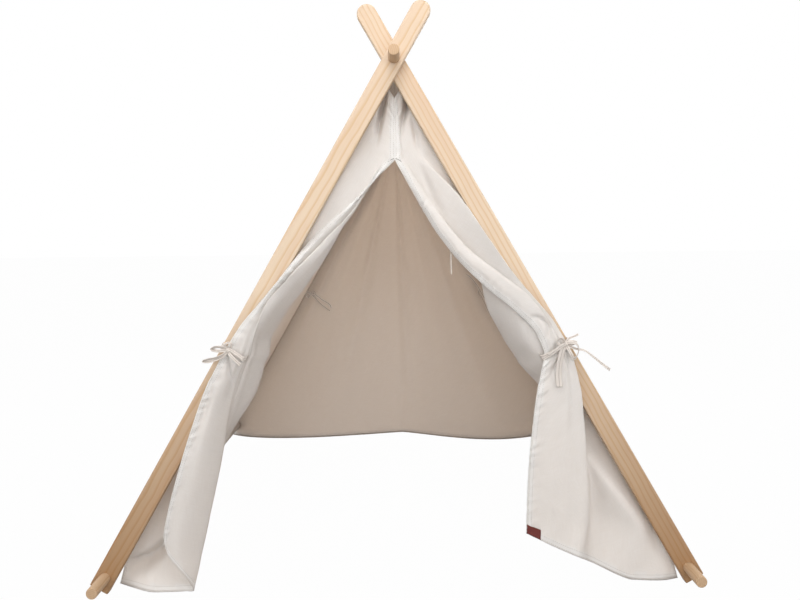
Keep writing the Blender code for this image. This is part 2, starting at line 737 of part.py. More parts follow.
def door_edge_tape(surface, parent):
    """The short tape sewn to the right flap's free edge, hanging straight down."""
    lines = flap_lines(RIGHT)
    edge = flap_point(RIGHT, lines, 2.0, 6.0)
    hem_inside = flap_point(RIGHT, lines, 2.0, 5.45)
    proud = CLOTH_THICKNESS / 2 + TAPE_THICKNESS / 2 + 2 * SEAT_GAP
    top = Vector((edge.x + 0.002, min(edge.y, hem_inside.y) - proud, edge.z + 0.004))
    steps = 6
    points = [top + Vector((0.0, 0.0, -DOOR_TAPE_LENGTH * i / steps)) for i in range(steps + 1)]
    tape = ribbon(points, Vector((1, 0, 0)), DOOR_TAPE_WIDTH, TAPE_THICKNESS)
    return add_object("door_edge_tape", tape, surface, parent=parent)


def corner_label(surface, parent):
    """The bare woven label sewn on the front of the right flap, at its free corner."""
    lines = flap_lines(RIGHT)
    last = len(FLAP_ROWS_PER_STATION)
    corner = flap_point(RIGHT, lines, last, 6)
    along_hem = (flap_point(RIGHT, lines, last, 5) - corner).normalized()
    up_edge = (flap_point(RIGHT, lines, last - 1, 6) - corner).normalized()
    outwards = along_hem.cross(up_edge).normalized()
    if outwards.y > 0:
        outwards = -outwards
    proud = CLOTH_THICKNESS / 2 + LABEL_THICKNESS / 2 + 1.5 * SEAT_GAP
    rows, columns = 3, 4

    def place(row, column):
        across = 0.001 + LABEL_WIDTH * column / (columns - 1)
        up = 0.001 + LABEL_HEIGHT * row / (rows - 1)
        return corner + along_hem * across + up_edge * up + outwards * proud

    return cloth("corner_label", rows, columns, place, surface, LABEL_THICKNESS, parent)


def build():
    for old in list(bpy.data.objects):
        bpy.data.objects.remove(old, do_unlink=True)

    pine = material("planed_softwood", "e1c4a1", 0.55)
    birch = material("dowel_softwood", "dcbc94", 0.55)
    canvas = material("unbleached_cotton", "ddd3cc", 0.95)
    tape = material("cotton_tape", "d9cdc4", 0.9)
    woven = material("woven_label", "6b2f26", 0.8)

    hinge = bpy.data.objects.new("ridge_axis", None)
    bpy.context.collection.objects.link(hinge)
    hinge.location = (0, 0, RIDGE_HEIGHT)

    ridge_bore = bore_cutter("ridge_bore", 0, RIGHT)
    left_bore = bore_cutter("left_ground_bore", GROUND_FROM_RIDGE, LEFT)
    right_bore = bore_cutter("right_ground_bore", GROUND_FROM_RIDGE, RIGHT)

    board("front_leg_left", LEFT, -OUTER_FACE, (ridge_bore, left_bore), pine, hinge)
    board("front_leg_right", RIGHT, -INNER_BOARD_FACE, (ridge_bore, right_bore), pine, hinge)
    rear_inner = INNER_BOARD_FACE - BOARD_THICKNESS
    rear_outer = OUTER_FACE - BOARD_THICKNESS
    board("rear_leg_left", LEFT, rear_inner, (ridge_bore, left_bore), pine, hinge)
    board("rear_leg_right", RIGHT, rear_outer, (ridge_bore, right_bore), pine, hinge)

    far = OUTER_FACE + POLE_OVERHANG
    near = INNER_BOARD_FACE + POLE_OVERHANG
    pole("ridge_dowel", 0, RIGHT, -far, far, birch, hinge)
    pole("left_ground_dowel", GROUND_FROM_RIDGE, LEFT, -far, near, birch, hinge)
    pole("right_ground_dowel", GROUND_FROM_RIDGE, RIGHT, -near, far, birch, hinge)

    ridge_sleeve(canvas, hinge)
    side_panel("left_side_panel", LEFT, canvas, hinge)
    side_panel("right_side_panel", RIGHT, canvas, hinge)
    left_room = tunnel_cutter("left_tunnel_room", LEFT)
    right_room = tunnel_cutter("right_tunnel_room", RIGHT)
    back_panel((left_room, right_room), canvas, hinge)
    door_flap("left_door_flap", LEFT, canvas, hinge)
    door_flap("right_door_flap", RIGHT, canvas, hinge)

    front_tie("front_left_tie", LEFT, tape, hinge)
    front_tie("front_right_tie", RIGHT, tape, hinge)
    rear_tie("rear_left_tie", LEFT, tape, hinge)
    rear_tie("rear_right_tie", RIGHT, tape, hinge)
    door_edge_tape(tape, hinge)
    corner_label(woven, hinge)


build()
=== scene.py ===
"""Looks of an A-frame play tent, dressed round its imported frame.

Bare softwood boards and poles carry an unbleached cotton cover with two tied-back door flaps. Everything
is in metres and in the frame's own axes: X across the tent, Y from the door to the rear wall, Z up.
"""

from __future__ import annotations

import logging
import math
from collections.abc import Sequence
from dataclasses import dataclass, field
from enum import Enum

import bmesh
import bpy
import numpy as np
from mathutils import Matrix, Vector, noise


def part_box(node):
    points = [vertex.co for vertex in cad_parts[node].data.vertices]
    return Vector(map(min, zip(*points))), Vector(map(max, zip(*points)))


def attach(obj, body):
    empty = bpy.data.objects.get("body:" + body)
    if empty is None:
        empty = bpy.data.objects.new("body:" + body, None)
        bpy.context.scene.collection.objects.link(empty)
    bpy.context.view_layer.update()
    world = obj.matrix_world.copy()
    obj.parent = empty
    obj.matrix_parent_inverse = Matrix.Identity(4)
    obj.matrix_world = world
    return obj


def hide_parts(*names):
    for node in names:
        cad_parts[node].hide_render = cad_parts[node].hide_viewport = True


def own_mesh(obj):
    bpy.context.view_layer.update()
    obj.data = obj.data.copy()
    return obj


LOG = logging.getLogger("play_tent")
MM = 0.001
WHITE = (1.0, 1.0, 1.0, 1.0)
# A wave texture of scale one has a stripe every 0.314 units.
WAVE_UNIT = 0.314
# How far a stitch's middle lies off the cloth's face, and a roof seam's stitches from its edge.
STITCH_PROUD = 0.0001
SEAM_INSET = 0.0055

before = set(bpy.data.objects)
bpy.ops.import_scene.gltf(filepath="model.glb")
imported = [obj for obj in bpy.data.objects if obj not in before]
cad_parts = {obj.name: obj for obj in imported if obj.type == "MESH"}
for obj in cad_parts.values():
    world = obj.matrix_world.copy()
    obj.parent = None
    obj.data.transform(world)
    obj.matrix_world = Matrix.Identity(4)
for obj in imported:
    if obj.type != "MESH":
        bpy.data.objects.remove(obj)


class Side(Enum):
    """Which side of the tent a piece belongs to, seen from the door."""

    LEFT = -1
    RIGHT = 1

    @property
    def word(self) -> str:
        """The side as it stands in the names of nodes."""
        return self.name.lower()

    @property
    def body(self) -> str:
        """The body of the boards whose feet are on this side."""
        return f"{self.word}_frame"


class Hem(Enum):
    """An edge of a panel's grid: the axis that leads away from it and whether it is the last one."""

    LAST_ROW = (0, True)
    FIRST_COLUMN = (1, False)
    LAST_COLUMN = (1, True)

    @property
    def axis(self) -> int:
        """The grid's axis that leads away from the edge."""
        return self.value[0]

    @property
    def is_last(self) -> bool:
        """Whether the edge is a last row or column."""
        return self.value[1]


SIDE_SEAMS = (Hem.FIRST_COLUMN, Hem.LAST_COLUMN)


def linear(hex_colour: str) -> tuple[float, float, float, float]:
    """Turn an sRGB colour into the linear values that shaders take.

    Args:
        hex_colour: Six hexadecimal digits, such as "e0c6a5".

    Returns:
        Linear red, green, blue and an alpha of one.
    """
    channels = [int(hex_colour[i : i + 2], 16) / 255 for i in (0, 2, 4)]
    red, green, blue = (c / 12.92 if c <= 0.04045 else ((c + 0.055) / 1.055) ** 2.4 for c in channels)
    return red, green, blue, 1.0


def fill(node: bpy.types.Node, inputs: dict[str | int, object]) -> None:
    """Give a node's inputs their values and links.

    Args:
        node: The node.
        inputs: For each input socket, by name or number, a value or the output socket to link from.
    """
    for name, value in inputs.items():
        if isinstance(value, bpy.types.NodeSocket):
            node.id_data.links.new(value, node.inputs[name])
        else:
            node.inputs[name].default_value = value


def add_node(
    tree: bpy.types.NodeTree,
    kind: str,
    inputs: dict[str | int, object] | None = None,
    give: str | int = 0,
    **settings: object,
) -> bpy.types.NodeSocket:
    """Add one shader node with its settings, values and links.

    Args:
        tree: The node tree that gets it.
        kind: Its type without the prefix, such as "TexNoise".
        inputs: For each input socket, by name or number, a value or the output socket to link from.
        give: The output socket wanted, by name or number.
        **settings: The node's own properties.

    Returns:
        That output socket.
    """
    made = tree.nodes.new("ShaderNode" + kind)
    for name, value in settings.items():
        setattr(made, name, value)
    fill(made, inputs or {})
    return made.outputs[give]


def set_ramp(colour: bpy.types.NodeSocket, stops: Sequence[tuple[float, tuple[float, ...]]]) -> None:
    """Give a colour ramp its stops.

    Args:
        colour: The ramp's output.
        stops: Position and linear colour of each stop, in rising order.
    """
    elements = colour.node.color_ramp.elements
    while len(elements) < len(stops):
        elements.new(1.0)
    for element, (position, colour_there) in zip(elements, stops):
        element.position = position
        element.color = colour_there


def new_material(
    name: str, values: dict[str, object]
) -> tuple[bpy.types.Material, bpy.types.NodeTree, bpy.types.Node]:
    """Start a material with its Principled shader.

    Args:
        name: The finish's name.
        values: The shader's inputs.

    Returns:
        The material, its node tree and its shader.
    """
    made = bpy.data.materials.new(name)
    made.use_nodes = True
    shader = made.node_tree.nodes["Principled BSDF"]
    fill(shader, values)
    return made, made.node_tree, shader


def new_object(name: str, source: bmesh.types.BMesh, surface: bpy.types.Material | None) -> bpy.types.Object:
    """Put a bmesh into the scene as an object at the origin.

    Args:
        name: The object's name.
        source: Its shape, which is freed.
        surface: Its material, or None.

    Returns:
        The object.
    """
    mesh = bpy.data.meshes.new(name)
    source.to_mesh(mesh)
    source.free()
    if surface is not None:
        mesh.materials.append(surface)
    made = bpy.data.objects.new(name, mesh)
    bpy.context.scene.collection.objects.link(made)
    return made


def stand_for(node: str) -> None:
    """Hide the CAD node whose place a new piece takes."""
    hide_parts(node)


def arc_lengths(points: np.ndarray, axis: int) -> np.ndarray:
    """Distance run along a grid of points from its first row or column.

    Args:
        points: Rows by columns by three.
        axis: 0 to measure down the columns, 1 along the rows.

    Returns:
        Rows by columns of distances.
    """
    steps = np.linalg.norm(np.diff(points, axis=axis), axis=-1)
    first = np.zeros_like(np.take(steps, [0], axis=axis))
    return np.concatenate([first, np.cumsum(steps, axis=axis)], axis=axis)


def edge_distance(points: np.ndarray, hem: Hem) -> np.ndarray:
    """Distance over the cloth from one edge of a grid of points.

    Args:
        points: Rows by columns by three.
        hem: The edge to measure from.

    Returns:
        Rows by columns of distances.
    """
    run = arc_lengths(points, hem.axis)
    return np.take(run, [-1], axis=hem.axis) - run if hem.is_last else run


def path_lengths(path: np.ndarray) -> np.ndarray:
    """Distance run along a path of places from its start."""
    return np.concatenate([[0], np.cumsum(np.linalg.norm(np.diff(path, axis=0), axis=-1))])


def at_run(wanted: float | np.ndarray, run: np.ndarray, rows: np.ndarray) -> np.ndarray:
    """Rows of values at the wanted distances along a run."""
    return np.stack([np.interp(wanted, run, column) for column in rows.T], axis=-1)


def grid_normals(points: np.ndarray) -> np.ndarray:
    """Unit normals of a grid of points, square to its rows and columns."""
    normals = np.cross(np.gradient(points, axis=1), np.gradient(points, axis=0))
    return normals / np.maximum(np.linalg.norm(normals, axis=-1, keepdims=True), 1e-12)


def eased(values: np.ndarray, at: np.ndarray) -> np.ndarray:
    """Values at fractional positions along rows of values, smooth and without overshoot.

    Args:
        values: One row for each whole position.
        at: The positions wanted.

    Returns:
        One row for each position.
    """
    steps = np.diff(values, axis=0)
    slopes = np.zeros_like(values)
    same_way = steps[:-1] * steps[1:] > 0
    total = np.where(same_way, steps[:-1] + steps[1:], 1.0)
    slopes[1:-1] = np.where(same_way, 2 * steps[:-1] * steps[1:] / total, 0.0)
    slopes[0], slopes[-1] = steps[0], steps[-1]
    return cubic(values, slopes, at)


def rounded(values: np.ndarray, at: np.ndarray) -> np.ndarray:
    """Values at fractional positions along rows of values, on a curve that rounds each bend.

    Args:
        values: One row for each whole position.
        at: The positions wanted.

    Returns:
        One row for each position.
    """
    before = np.concatenate([[2 * values[0] - values[1]], values[:-1]])
    after = np.concatenate([values[1:], [2 * values[-1] - values[-2]]])
    return cubic(values, (after - before) / 2, at)


def cubic(rows: np.ndarray, slopes: np.ndarray, at: np.ndarray) -> np.ndarray:
    """Cubic Hermite curve through rows of values.

    Args:
        rows: The values at whole positions.
        slopes: The slopes there.
        at: The positions wanted.

    Returns:
        One row for each position.
    """
    whole = np.clip(at.astype(int), 0, len(rows) - 2)
    part = (at - whole).reshape((-1,) + (1,) * (rows.ndim - 1))
    return (
        (2 * part**3 - 3 * part**2 + 1) * rows[whole]
        + (part**3 - 2 * part**2 + part) * slopes[whole]
        + (3 * part**2 - 2 * part**3) * rows[whole + 1]
        + (part**3 - part**2) * slopes[whole + 1]
    )


@dataclass(frozen=True)
class TentFrame:
    """The tent's sizes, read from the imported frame, and places beside its boards.

    A place beside a board is given as down, along the board from the ridge pole's axis, and out, square to
    the board and positive outside the tent.
    """

    ridge_height: float
    tilt: float
    pole_radius: float
    ground_from_ridge: float
    foot_from_ridge: float
    board_width: float
    board_thickness: float
    outer_face: float
    inner_board_face: float
    cloth_end: float
    sleeve_radius: float
    # The solids' cloth, the gap at its seats and the hem's height over the floor.
    cad_cloth: float = 0.0015
    seat_gap: float = 0.0003
    hem_clearance: float = 0.0015

    @classmethod
    def measured(cls) -> TentFrame:
        """Read the sizes from the nodes' boxes.

        Returns:
            The tent's sizes.
        """
        ridge_low, ridge_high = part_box("ridge_dowel")
        ground_low, ground_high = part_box("right_ground_dowel")
        near_low, near_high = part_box("front_leg_left")
        inner_low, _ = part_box("front_leg_right")
        sleeve_low, sleeve_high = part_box("ridge_sleeve")
        ridge = (ridge_low.z + ridge_high.z) / 2
        ground_x, ground_z = (ground_low.x + ground_high.x) / 2, (ground_low.z + ground_high.z) / 2
        tilt = math.atan2(ground_x, ridge - ground_z)
        # A foot's outer corner sets the reach and its lowest one the ridge's height.
        reach, double = -near_low.x, math.cos(2 * tilt)
        return cls(
            ridge_height=ridge,
            tilt=tilt,
            pole_radius=(ridge_high.x - ridge_low.x) / 2,
            ground_from_ridge=math.hypot(ground_x, ridge - ground_z),
            foot_from_ridge=(ridge * math.cos(tilt) - reach * math.sin(tilt)) / double,
            board_width=2 * (reach * math.cos(tilt) - ridge * math.sin(tilt)) / double,
            board_thickness=near_high.y - near_low.y,
            outer_face=-near_low.y,
            inner_board_face=-inner_low.y,
            cloth_end=sleeve_high.y,
            sleeve_radius=(sleeve_high.x - sleeve_low.x) / 2,
        )

    @property
    def foot_x(self) -> float:
        """How far from the tent's middle the middle of a board's sawn end lies."""
        return self.foot_from_ridge * math.sin(self.tilt)

    def front_y(self, side: Side) -> float:
        """Y of the front face of the front board whose foot is on that side."""
        return -(self.outer_face if side is Side.LEFT else self.inner_board_face)

    def across_up(self, down: float | np.ndarray, out: float | np.ndarray) -> tuple[float, float]:
        """The distance from the tent's middle and the height of a place beside a board."""
        sine, cosine = math.sin(self.tilt), math.cos(self.tilt)
        return down * sine + out * cosine, self.ridge_height - down * cosine + out * sine

    def down_out(self, x: float, z: float) -> tuple[float, float]:
        """The down and out of a point x from the tent's middle and z above the floor."""
        sine, cosine, drop = math.sin(self.tilt), math.cos(self.tilt), self.ridge_height - z
        return x * sine + drop * cosine, x * cosine - drop * sine

    def beside_board(self, side: Side, down: float, out: float, y: float) -> Vector:
        """World position of a place beside the board whose foot is on that side."""
        x, z = self.across_up(down, out)
        return Vector((side.value * x, y, z))

    def way(self, side: Side, down: float, out: float) -> Vector:
        """The direction that runs so far down a board and so far out."""
        return self.beside_board(side, down, out, 0) - self.beside_board(side, 0, 0, 0)

    def fold(self, piece: bpy.types.Object, side: Side) -> None:
        """Give a soft piece of one frame its own copy of its mesh.

        Args:
            piece: The piece, riding on the frame already.
            side: Which frame; not used.
        """
        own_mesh(piece)


@dataclass
class Fabric:
    """What the cover's panels share: the drawn thickness, the hems and the weave's map."""

    thickness: float = 0.0010
    hem_width: float = 0.014
    hem_thickness: float = 0.0022
    fine_crease: float = 0.0009
    fine_crease_size: float = 0.055
    pucker_length: float = 0.008
    pucker_depth_size: float = 0.05
    held_width: float = 0.030
    seam_overlap: float = 0.0002

    def seam_out(self, tent: TentFrame) -> float:
        """How far out of the board's middle a wall meets the roof's inner face."""
        return tent.sleeve_radius - tent.cad_cloth / 2 - self.thickness / 2 + self.seam_overlap

    def sheet(
        self,
        name: str,
        points: np.ndarray,
        surface: bpy.types.Material,
        body: str,
        hems: Sequence[Hem] = (),
        hem_shade: float = 0.3,
    ) -> bpy.types.Object:
        """Make a cloth piece on a grid of places and let it ride on its body.

        Args:
            name: The piece's name.
            points: Rows by columns by three, the sheet's middle surface.
            surface: Its material.
            body: The frame body that it rides on.
            hems: The edges that are turned over and sewn.
            hem_shade: How much painted shade darkens the hem's last row, from 0 to 1.

        Returns:
            The piece.
        """
        rows, columns = points.shape[:2]
        across, along = arc_lengths(points, axis=1), arc_lengths(points, axis=0)
        grid = bmesh.new()
        bmesh.ops.create_grid(grid, x_segments=columns - 1, y_segments=rows - 1, size=0.5)
        cloth_map = grid.loops.layers.uv.new("cloth")
        places = {}
        for vert in grid.verts:
            spot = round((vert.co.y + 0.5) * (rows - 1)), round((vert.co.x + 0.5) * (columns - 1))
            vert.co = points[spot]
            places[vert] = (across[spot], along[spot])
        for face in grid.faces:
            face.smooth = True
            for loop in face.loops:
                loop[cloth_map].uv = places[loop.vert]
        made = new_object(name, grid, surface)
        folded, foot = np.zeros((rows, columns)), np.zeros((rows, columns))
        for hem in hems:
            folded = np.maximum(folded, edge_distance(points, hem) <= self.hem_width)
        # The hem's last row gets painted shade where it turns under.
        if Hem.LAST_ROW in hems:
            foot[-1] = hem_shade
        for label, shares in (("hem", folded), ("foot", foot)):
            layer = made.data.attributes.new(label, "FLOAT", "POINT")
            layer.data.foreach_set("value", shares.ravel())
        shell = made.modifiers.new("thickness", "SOLIDIFY")
        shell.thickness = self.thickness
        shell.offset = 0.0
        if folded.any():
            group = made.vertex_groups.new(name="hem")
            group.add(np.flatnonzero(folded).tolist(), 1.0, "REPLACE")
            shell.vertex_group = group.name
            shell.thickness = self.hem_thickness
            shell.thickness_vertex_group = self.thickness / self.hem_thickness
        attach(made, body)
        LOG.info("%s: %d by %d points", name, rows, columns)
        return made

    def puckered(
        self, points: np.ndarray, hem: Hem, seed: float, depth: float, facing: float = 1.0
    ) -> np.ndarray:
        """Draw the cloth up along a sewn edge, in small uneven waves that die out beside the stitching.

        Args:
            points: Rows by columns by three.
            hem: The sewn edge.
            seed: Shifts the pattern, so that each seam has its own.
            depth: How deep the waves are.
            facing: 1 or -1, which way the waves rise.

        Returns:
            The moved places.
        """
        from_edge, along = edge_distance(points, hem), arc_lengths(points, 1 - hem.axis)
        fade = np.exp(-(((from_edge - 0.7 * self.hem_width) / (0.9 * self.hem_width)) ** 2))
        heights = np.zeros(points.shape[:2])
        for spot in zip(*np.nonzero(fade > 0.02)):
            lean = (along[spot] + 0.5 * from_edge[spot]) / self.pucker_length
            place = Vector((lean, from_edge[spot] / self.pucker_depth_size, seed))
            heights[spot] = (noise.noise(place) - 0.25) * fade[spot]
        return points + grid_normals(points) * (facing * depth * heights)[..., None]

    def creased(
        self, points: np.ndarray, seed: float, stretch: tuple[float, float] = (1.0, 1.0)
    ) -> np.ndarray:
        """Lay fine soft creases over a sheet, which stays in place along its two side seams.

        Args:
            points: Rows by columns by three.
            seed: Shifts the pattern, so that each panel has its own.
            stretch: How long the creases are across and along, against their usual size.

        Returns:
            The moved places.
        """
        across = arc_lengths(points, axis=1) / (self.fine_crease_size * stretch[0])
        along = arc_lengths(points, axis=0) / (self.fine_crease_size * stretch[1])
        heights = np.empty(points.shape[:2])
        for spot in np.ndindex(heights.shape):
            heights[spot] = noise.fractal(Vector((across[spot], along[spot], seed)), 1.0, 2.0, 2)
        for hem in SIDE_SEAMS:
            heights = heights * np.clip(edge_distance(points, hem) / self.held_width, 0, 1)
        return points + grid_normals(points) * (self.fine_crease * heights)[..., None]


@dataclass(frozen=True)
class Crease:
    """A furrow pressed into hanging cloth, its path as seen from the door.

    Each stop of the path is its x, its height, the furrow's depth and its half width, in millimetres. A
    negative depth is a raised fold. The columns are the share of the flap's width that it may reach.
    """

    path: tuple[tuple[float, float, float, float], ...]
    columns: tuple[float, float] = (0.0, 1.0)
    end_sharpness: float = 30.0

    def press(self, points: np.ndarray) -> np.ndarray:
        """Push a grid of cloth points inwards along the furrow.

        Args:
            points: Rows by columns by three.

        Returns:
            The moved places.
        """
        seen = points[..., [0, 2]]
        nearest = np.full(points.shape[:2], np.inf)
        depth, width = np.zeros(points.shape[:2]), np.ones(points.shape[:2])
        stops = np.array(self.path) * MM
        for start, end in zip(stops[:-1], stops[1:]):
            run = end[:2] - start[:2]
            part = np.clip((seen - start[:2]) @ run / (run @ run), 0, 1)
            distance = np.linalg.norm(seen - start[:2] - part[..., None] * run, axis=-1)
            closer = distance < nearest
            nearest = np.where(closer, distance, nearest)
            depth = np.where(closer, start[2] + (end[2] - start[2]) * part, depth)
            width = np.where(closer, start[3] + (end[3] - start[3]) * part, width)
        share = np.linspace(0, 1, points.shape[1])[None, :]
        after, before = share - self.columns[0], self.columns[1] - share
        for beyond in (after, before):
            depth = depth * np.clip(beyond * self.end_sharpness + 0.5, 0, 1)
        moved = points.copy()
        moved[..., 1] += depth * np.exp(-((nearest / width) ** 2))
        return moved


@dataclass(frozen=True)
class PlanedPine:
    """Planed softwood left bare: pale early wood with narrow darker rings and fine pores along the grain."""

    name: str = "planed_pine"
    early: str = "dfcab2"
    late: str = "d4b48e"
    flush: str = "d6b496"
    # Painted shade along each board: a little greyer at the top and darker, a deeper tan, towards the foot,
    # where less light reaches.
    top_painted_shade: str = "f6f4f3"
    foot_painted_shade: str = "c0a88d"
    painted_shade_length: float = 1.4
    ring_spacing: float = 0.0105
    # Where the tree's heart lay beside and behind the board's middle, and how it leans.
    pith: tuple[float, float, float] = (0.034, 0.021, 0.0)
    pith_lean: float = 0.011
    fibre_width: float = 0.0016
    fibre_length: float = 0.120
    roughness: float = 0.58

    def build(self) -> bpy.types.Material:
        """Make the material, its pattern on the grain attribute in metres.

        Returns:
            The material.
        """
        values = {"Roughness": self.roughness, "Specular IOR Level": 0.35}
        made, tree, shader = new_material(self.name, values)
        early, late = linear(self.early), linear(self.late)
        grain = add_node(tree, "Attribute", give="Vector", attribute_name="grain")
        lean = (self.pith_lean, -self.pith_lean, 0.0)
        pith = add_node(tree, "Mapping", {"Vector": grain, "Location": self.pith, "Rotation": lean})
        wave = {"Vector": pith, "Scale": WAVE_UNIT / self.ring_spacing, "Distortion": 3.2, "Detail": 2.0}
        wave |= {"Detail Scale": 0.25, "Detail Roughness": 0.55}
        rings = add_node(
            tree, "TexWave", wave, "Fac", wave_type="RINGS", rings_direction="Z", wave_profile="SAW"
        )
        ring_tone = add_node(tree, "ValToRGB", {"Fac": rings})
        set_ramp(ring_tone, [(0.0, early), (0.55, early), (0.88, late), (1.0, early)])
        pores = (1 / self.fibre_width, 1 / self.fibre_width, 1 / self.fibre_length)
        stretched = add_node(tree, "Mapping", {"Vector": grain, "Scale": pores})
        fibre = add_node(
            tree, "TexNoise", {"Vector": stretched, "Scale": 1.0, "Detail": 3.0, "Roughness": 0.6}
        )
        # Broad flushes of warmer wood, about 40 mm across and 400 mm along the grain.
        broad = add_node(tree, "Mapping", {"Vector": grain, "Scale": (28.0, 28.0, 2.6)})
        cloud = add_node(tree, "TexNoise", {"Vector": broad, "Scale": 1.0, "Detail": 2.0, "Roughness": 0.5})
        share = {"Value": cloud, "From Min": 0.46, "From Max": 0.78, "To Max": 0.55}
        flushed = {"Factor": add_node(tree, "MapRange", share), 6: ring_tone, 7: linear(self.flush)}
        toned = add_node(tree, "Mix", flushed, 2, data_type="RGBA")
        share = {"Value": fibre, "From Min": 0.35, "From Max": 0.75, "To Max": 0.30}
        pored = {"Factor": add_node(tree, "MapRange", share), 6: toned, 7: late}
        coloured = add_node(tree, "Mix", pored, 2, data_type="RGBA")
        # Painted shade: a ramp by the distance down from the ridge pole's axis darkens each board towards
        # its foot.
        down = add_node(tree, "Attribute", give="Fac", attribute_name="down")
        lower = add_node(tree, "MapRange", {"Value": down, "From Max": self.painted_shade_length})
        shade_ramp = add_node(tree, "ValToRGB", {"Fac": lower})
        set_ramp(shade_ramp, [(0.08, linear(self.top_painted_shade)), (0.42, WHITE), (0.95, linear(self.foot_painted_shade))])
        both = {"Factor": 1.0, 6: coloured, 7: shade_ramp}
        shaded_wood = add_node(tree, "Mix", both, 2, data_type="RGBA", blend_type="MULTIPLY")
        bump = add_node(tree, "Bump", {"Strength": 0.25, "Distance": 0.0006, "Height": fibre})
        fill(shader, {"Base Color": shaded_wood, "Normal": bump})
        return made


@dataclass(frozen=True)
class CottonCanvas:
    """Unbleached plain-weave cotton: a warm off-white with slubs in both threads and a soft, dry surface."""

    name: str = "unbleached_canvas"
    pale: str = "f6f5f3"
    deep: str = "f0eeeb"
    through: str = "f0e1d3"
    translucency: float = 0.32
    # A hem is three layers, which let less light through, and its last row is darkened, painted shade where
    # the hem turns under.
    hem_translucency: float = 0.20
    hem_shade_colour: str = "a18f80"
    # The real threads are about 0.45 mm apart, drawn coarser so that the weave shows.
    thread_spacing: float = 0.0011
    slub_length: float = 0.035
    roughness: float = 0.92

    def build(self) -> bpy.types.Material:
        """Make the material, its weave on the piece's own UV map in metres.

        Returns:
            The material.
        """
        values = {"Roughness": self.roughness, "Specular IOR Level": 0.2}
        values |= {"Sheen Weight": 0.25, "Sheen Roughness": 0.5}
        made, tree, shader = new_material(self.name, values)
        cloth = add_node(tree, "UVMap", uv_map="cloth")
        wave = {"Vector": cloth, "Scale": WAVE_UNIT / self.thread_spacing, "Distortion": 0.6}
        wave |= {"Detail": 1.0, "Detail Scale": 0.08}
        threads = [add_node(tree, "TexWave", wave, "Fac", bands_direction=way) for way in "XY"]
        weave = add_node(tree, "Math", {0: threads[0], 1: threads[1]}, operation="MULTIPLY")
        fine, long = 0.5 / self.thread_spacing, 1 / self.slub_length
        slubs = []
        for scale in ((long, fine, 1.0), (fine, long, 1.0)):
            along = add_node(tree, "Mapping", {"Vector": cloth, "Scale": scale})
            slubs.append(add_node(tree, "TexNoise", {"Vector": along, "Scale": 1.0, "Detail": 1.0}))
        slub = add_node(tree, "Math", {0: slubs[0], 1: slubs[1]}, operation="MULTIPLY")
        height = add_node(tree, "Math", {0: slub, 1: 1.6, 2: weave}, operation="MULTIPLY_ADD")
        share = add_node(tree, "MapRange", {"Value": slub, "From Min": 0.12, "From Max": 0.42})
        tones = {"Factor": share, 6: linear(self.deep), 7: linear(self.pale)}
        clean = add_node(tree, "Mix", tones, 2, data_type="RGBA")
        # Painted shade along the hem's last row, in the share that the foot attribute gives.
        foot = add_node(tree, "Attribute", give="Fac", attribute_name="foot")
        hem_shaded = {"Factor": foot, 6: clean, 7: linear(self.hem_shade_colour)}
        coloured = add_node(tree, "Mix", hem_shaded, 2, data_type="RGBA")
        hem = add_node(tree, "Attribute", give="Fac", attribute_name="hem")
        layers = {"Value": hem, "To Min": self.translucency, "To Max": self.hem_translucency}
        thinness = add_node(tree, "MapRange", layers)
        bump = add_node(tree, "Bump", {"Strength": 0.35, "Distance": 0.0004, "Height": height})
        fill(shader, {"Base Color": coloured, "Normal": bump})
        lit_through = add_node(tree, "BsdfTranslucent", {"Color": linear(self.through), "Normal": bump})
        mixed = add_node(tree, "MixShader", {"Fac": thinness, 1: shader.outputs["BSDF"], 2: lit_through})
        fill(tree.nodes["Material Output"], {"Surface": mixed})
        return made


@dataclass(frozen=True)
class CottonTape:
    """Folded cotton tape: a little greyer than the cover, with a seam line down its middle."""

    name: str = "cotton_tape"
    colour: str = "e0d7cf"
    seam: str = "a3978d"
    rib_spacing: float = 0.0012
    seam_half_width: float = 0.0006
    roughness: float = 0.9

    def build(self) -> bpy.types.Material:
        """Make the material, its ribs and seam on the strands' own attribute in metres.

        Returns:
            The material.
        """
        values = {"Roughness": self.roughness, "Specular IOR Level": 0.2}
        made, tree, shader = new_material(self.name, values)
        strand = add_node(tree, "Attribute", give="Vector", attribute_name="strand")
        wave = {"Vector": strand, "Scale": WAVE_UNIT / self.rib_spacing, "Distortion": 0.4}
        ribs = add_node(tree, "TexWave", wave, "Fac", bands_direction="Y")
        across = add_node(tree, "SeparateXYZ", {"Vector": strand}, "X")
        beside = add_node(tree, "Math", {0: across}, operation="ABSOLUTE")
        line = {"Value": beside, "From Min": self.seam_half_width, "From Max": 2 * self.seam_half_width}
        sewn = add_node(tree, "MapRange", line | {"To Min": 1.0, "To Max": 0.0})
        share = add_node(tree, "Math", {0: sewn, 1: 0.55}, operation="MULTIPLY")
        tones = {"Factor": share, 6: linear(self.colour), 7: linear(self.seam)}
        coloured = add_node(tree, "Mix", tones, 2, data_type="RGBA")
        height = add_node(tree, "Math", {0: sewn, 1: -1.5, 2: ribs}, operation="MULTIPLY_ADD")
        bump = add_node(tree, "Bump", {"Strength": 0.4, "Distance": 0.0004, "Height": height})
        fill(shader, {"Base Color": coloured, "Normal": bump})
        return made


@dataclass(frozen=True)
class SewingThread:
    """Matt sewing thread, a shade darker than the cloth so that the stitches show."""

    name: str
    colour: str

    def build(self) -> bpy.types.Material:
        """Make the material."""
        values = {"Base Color": linear(self.colour), "Roughness": 0.7, "Specular IOR Level": 0.3}
        return new_material(self.name, values)[0]


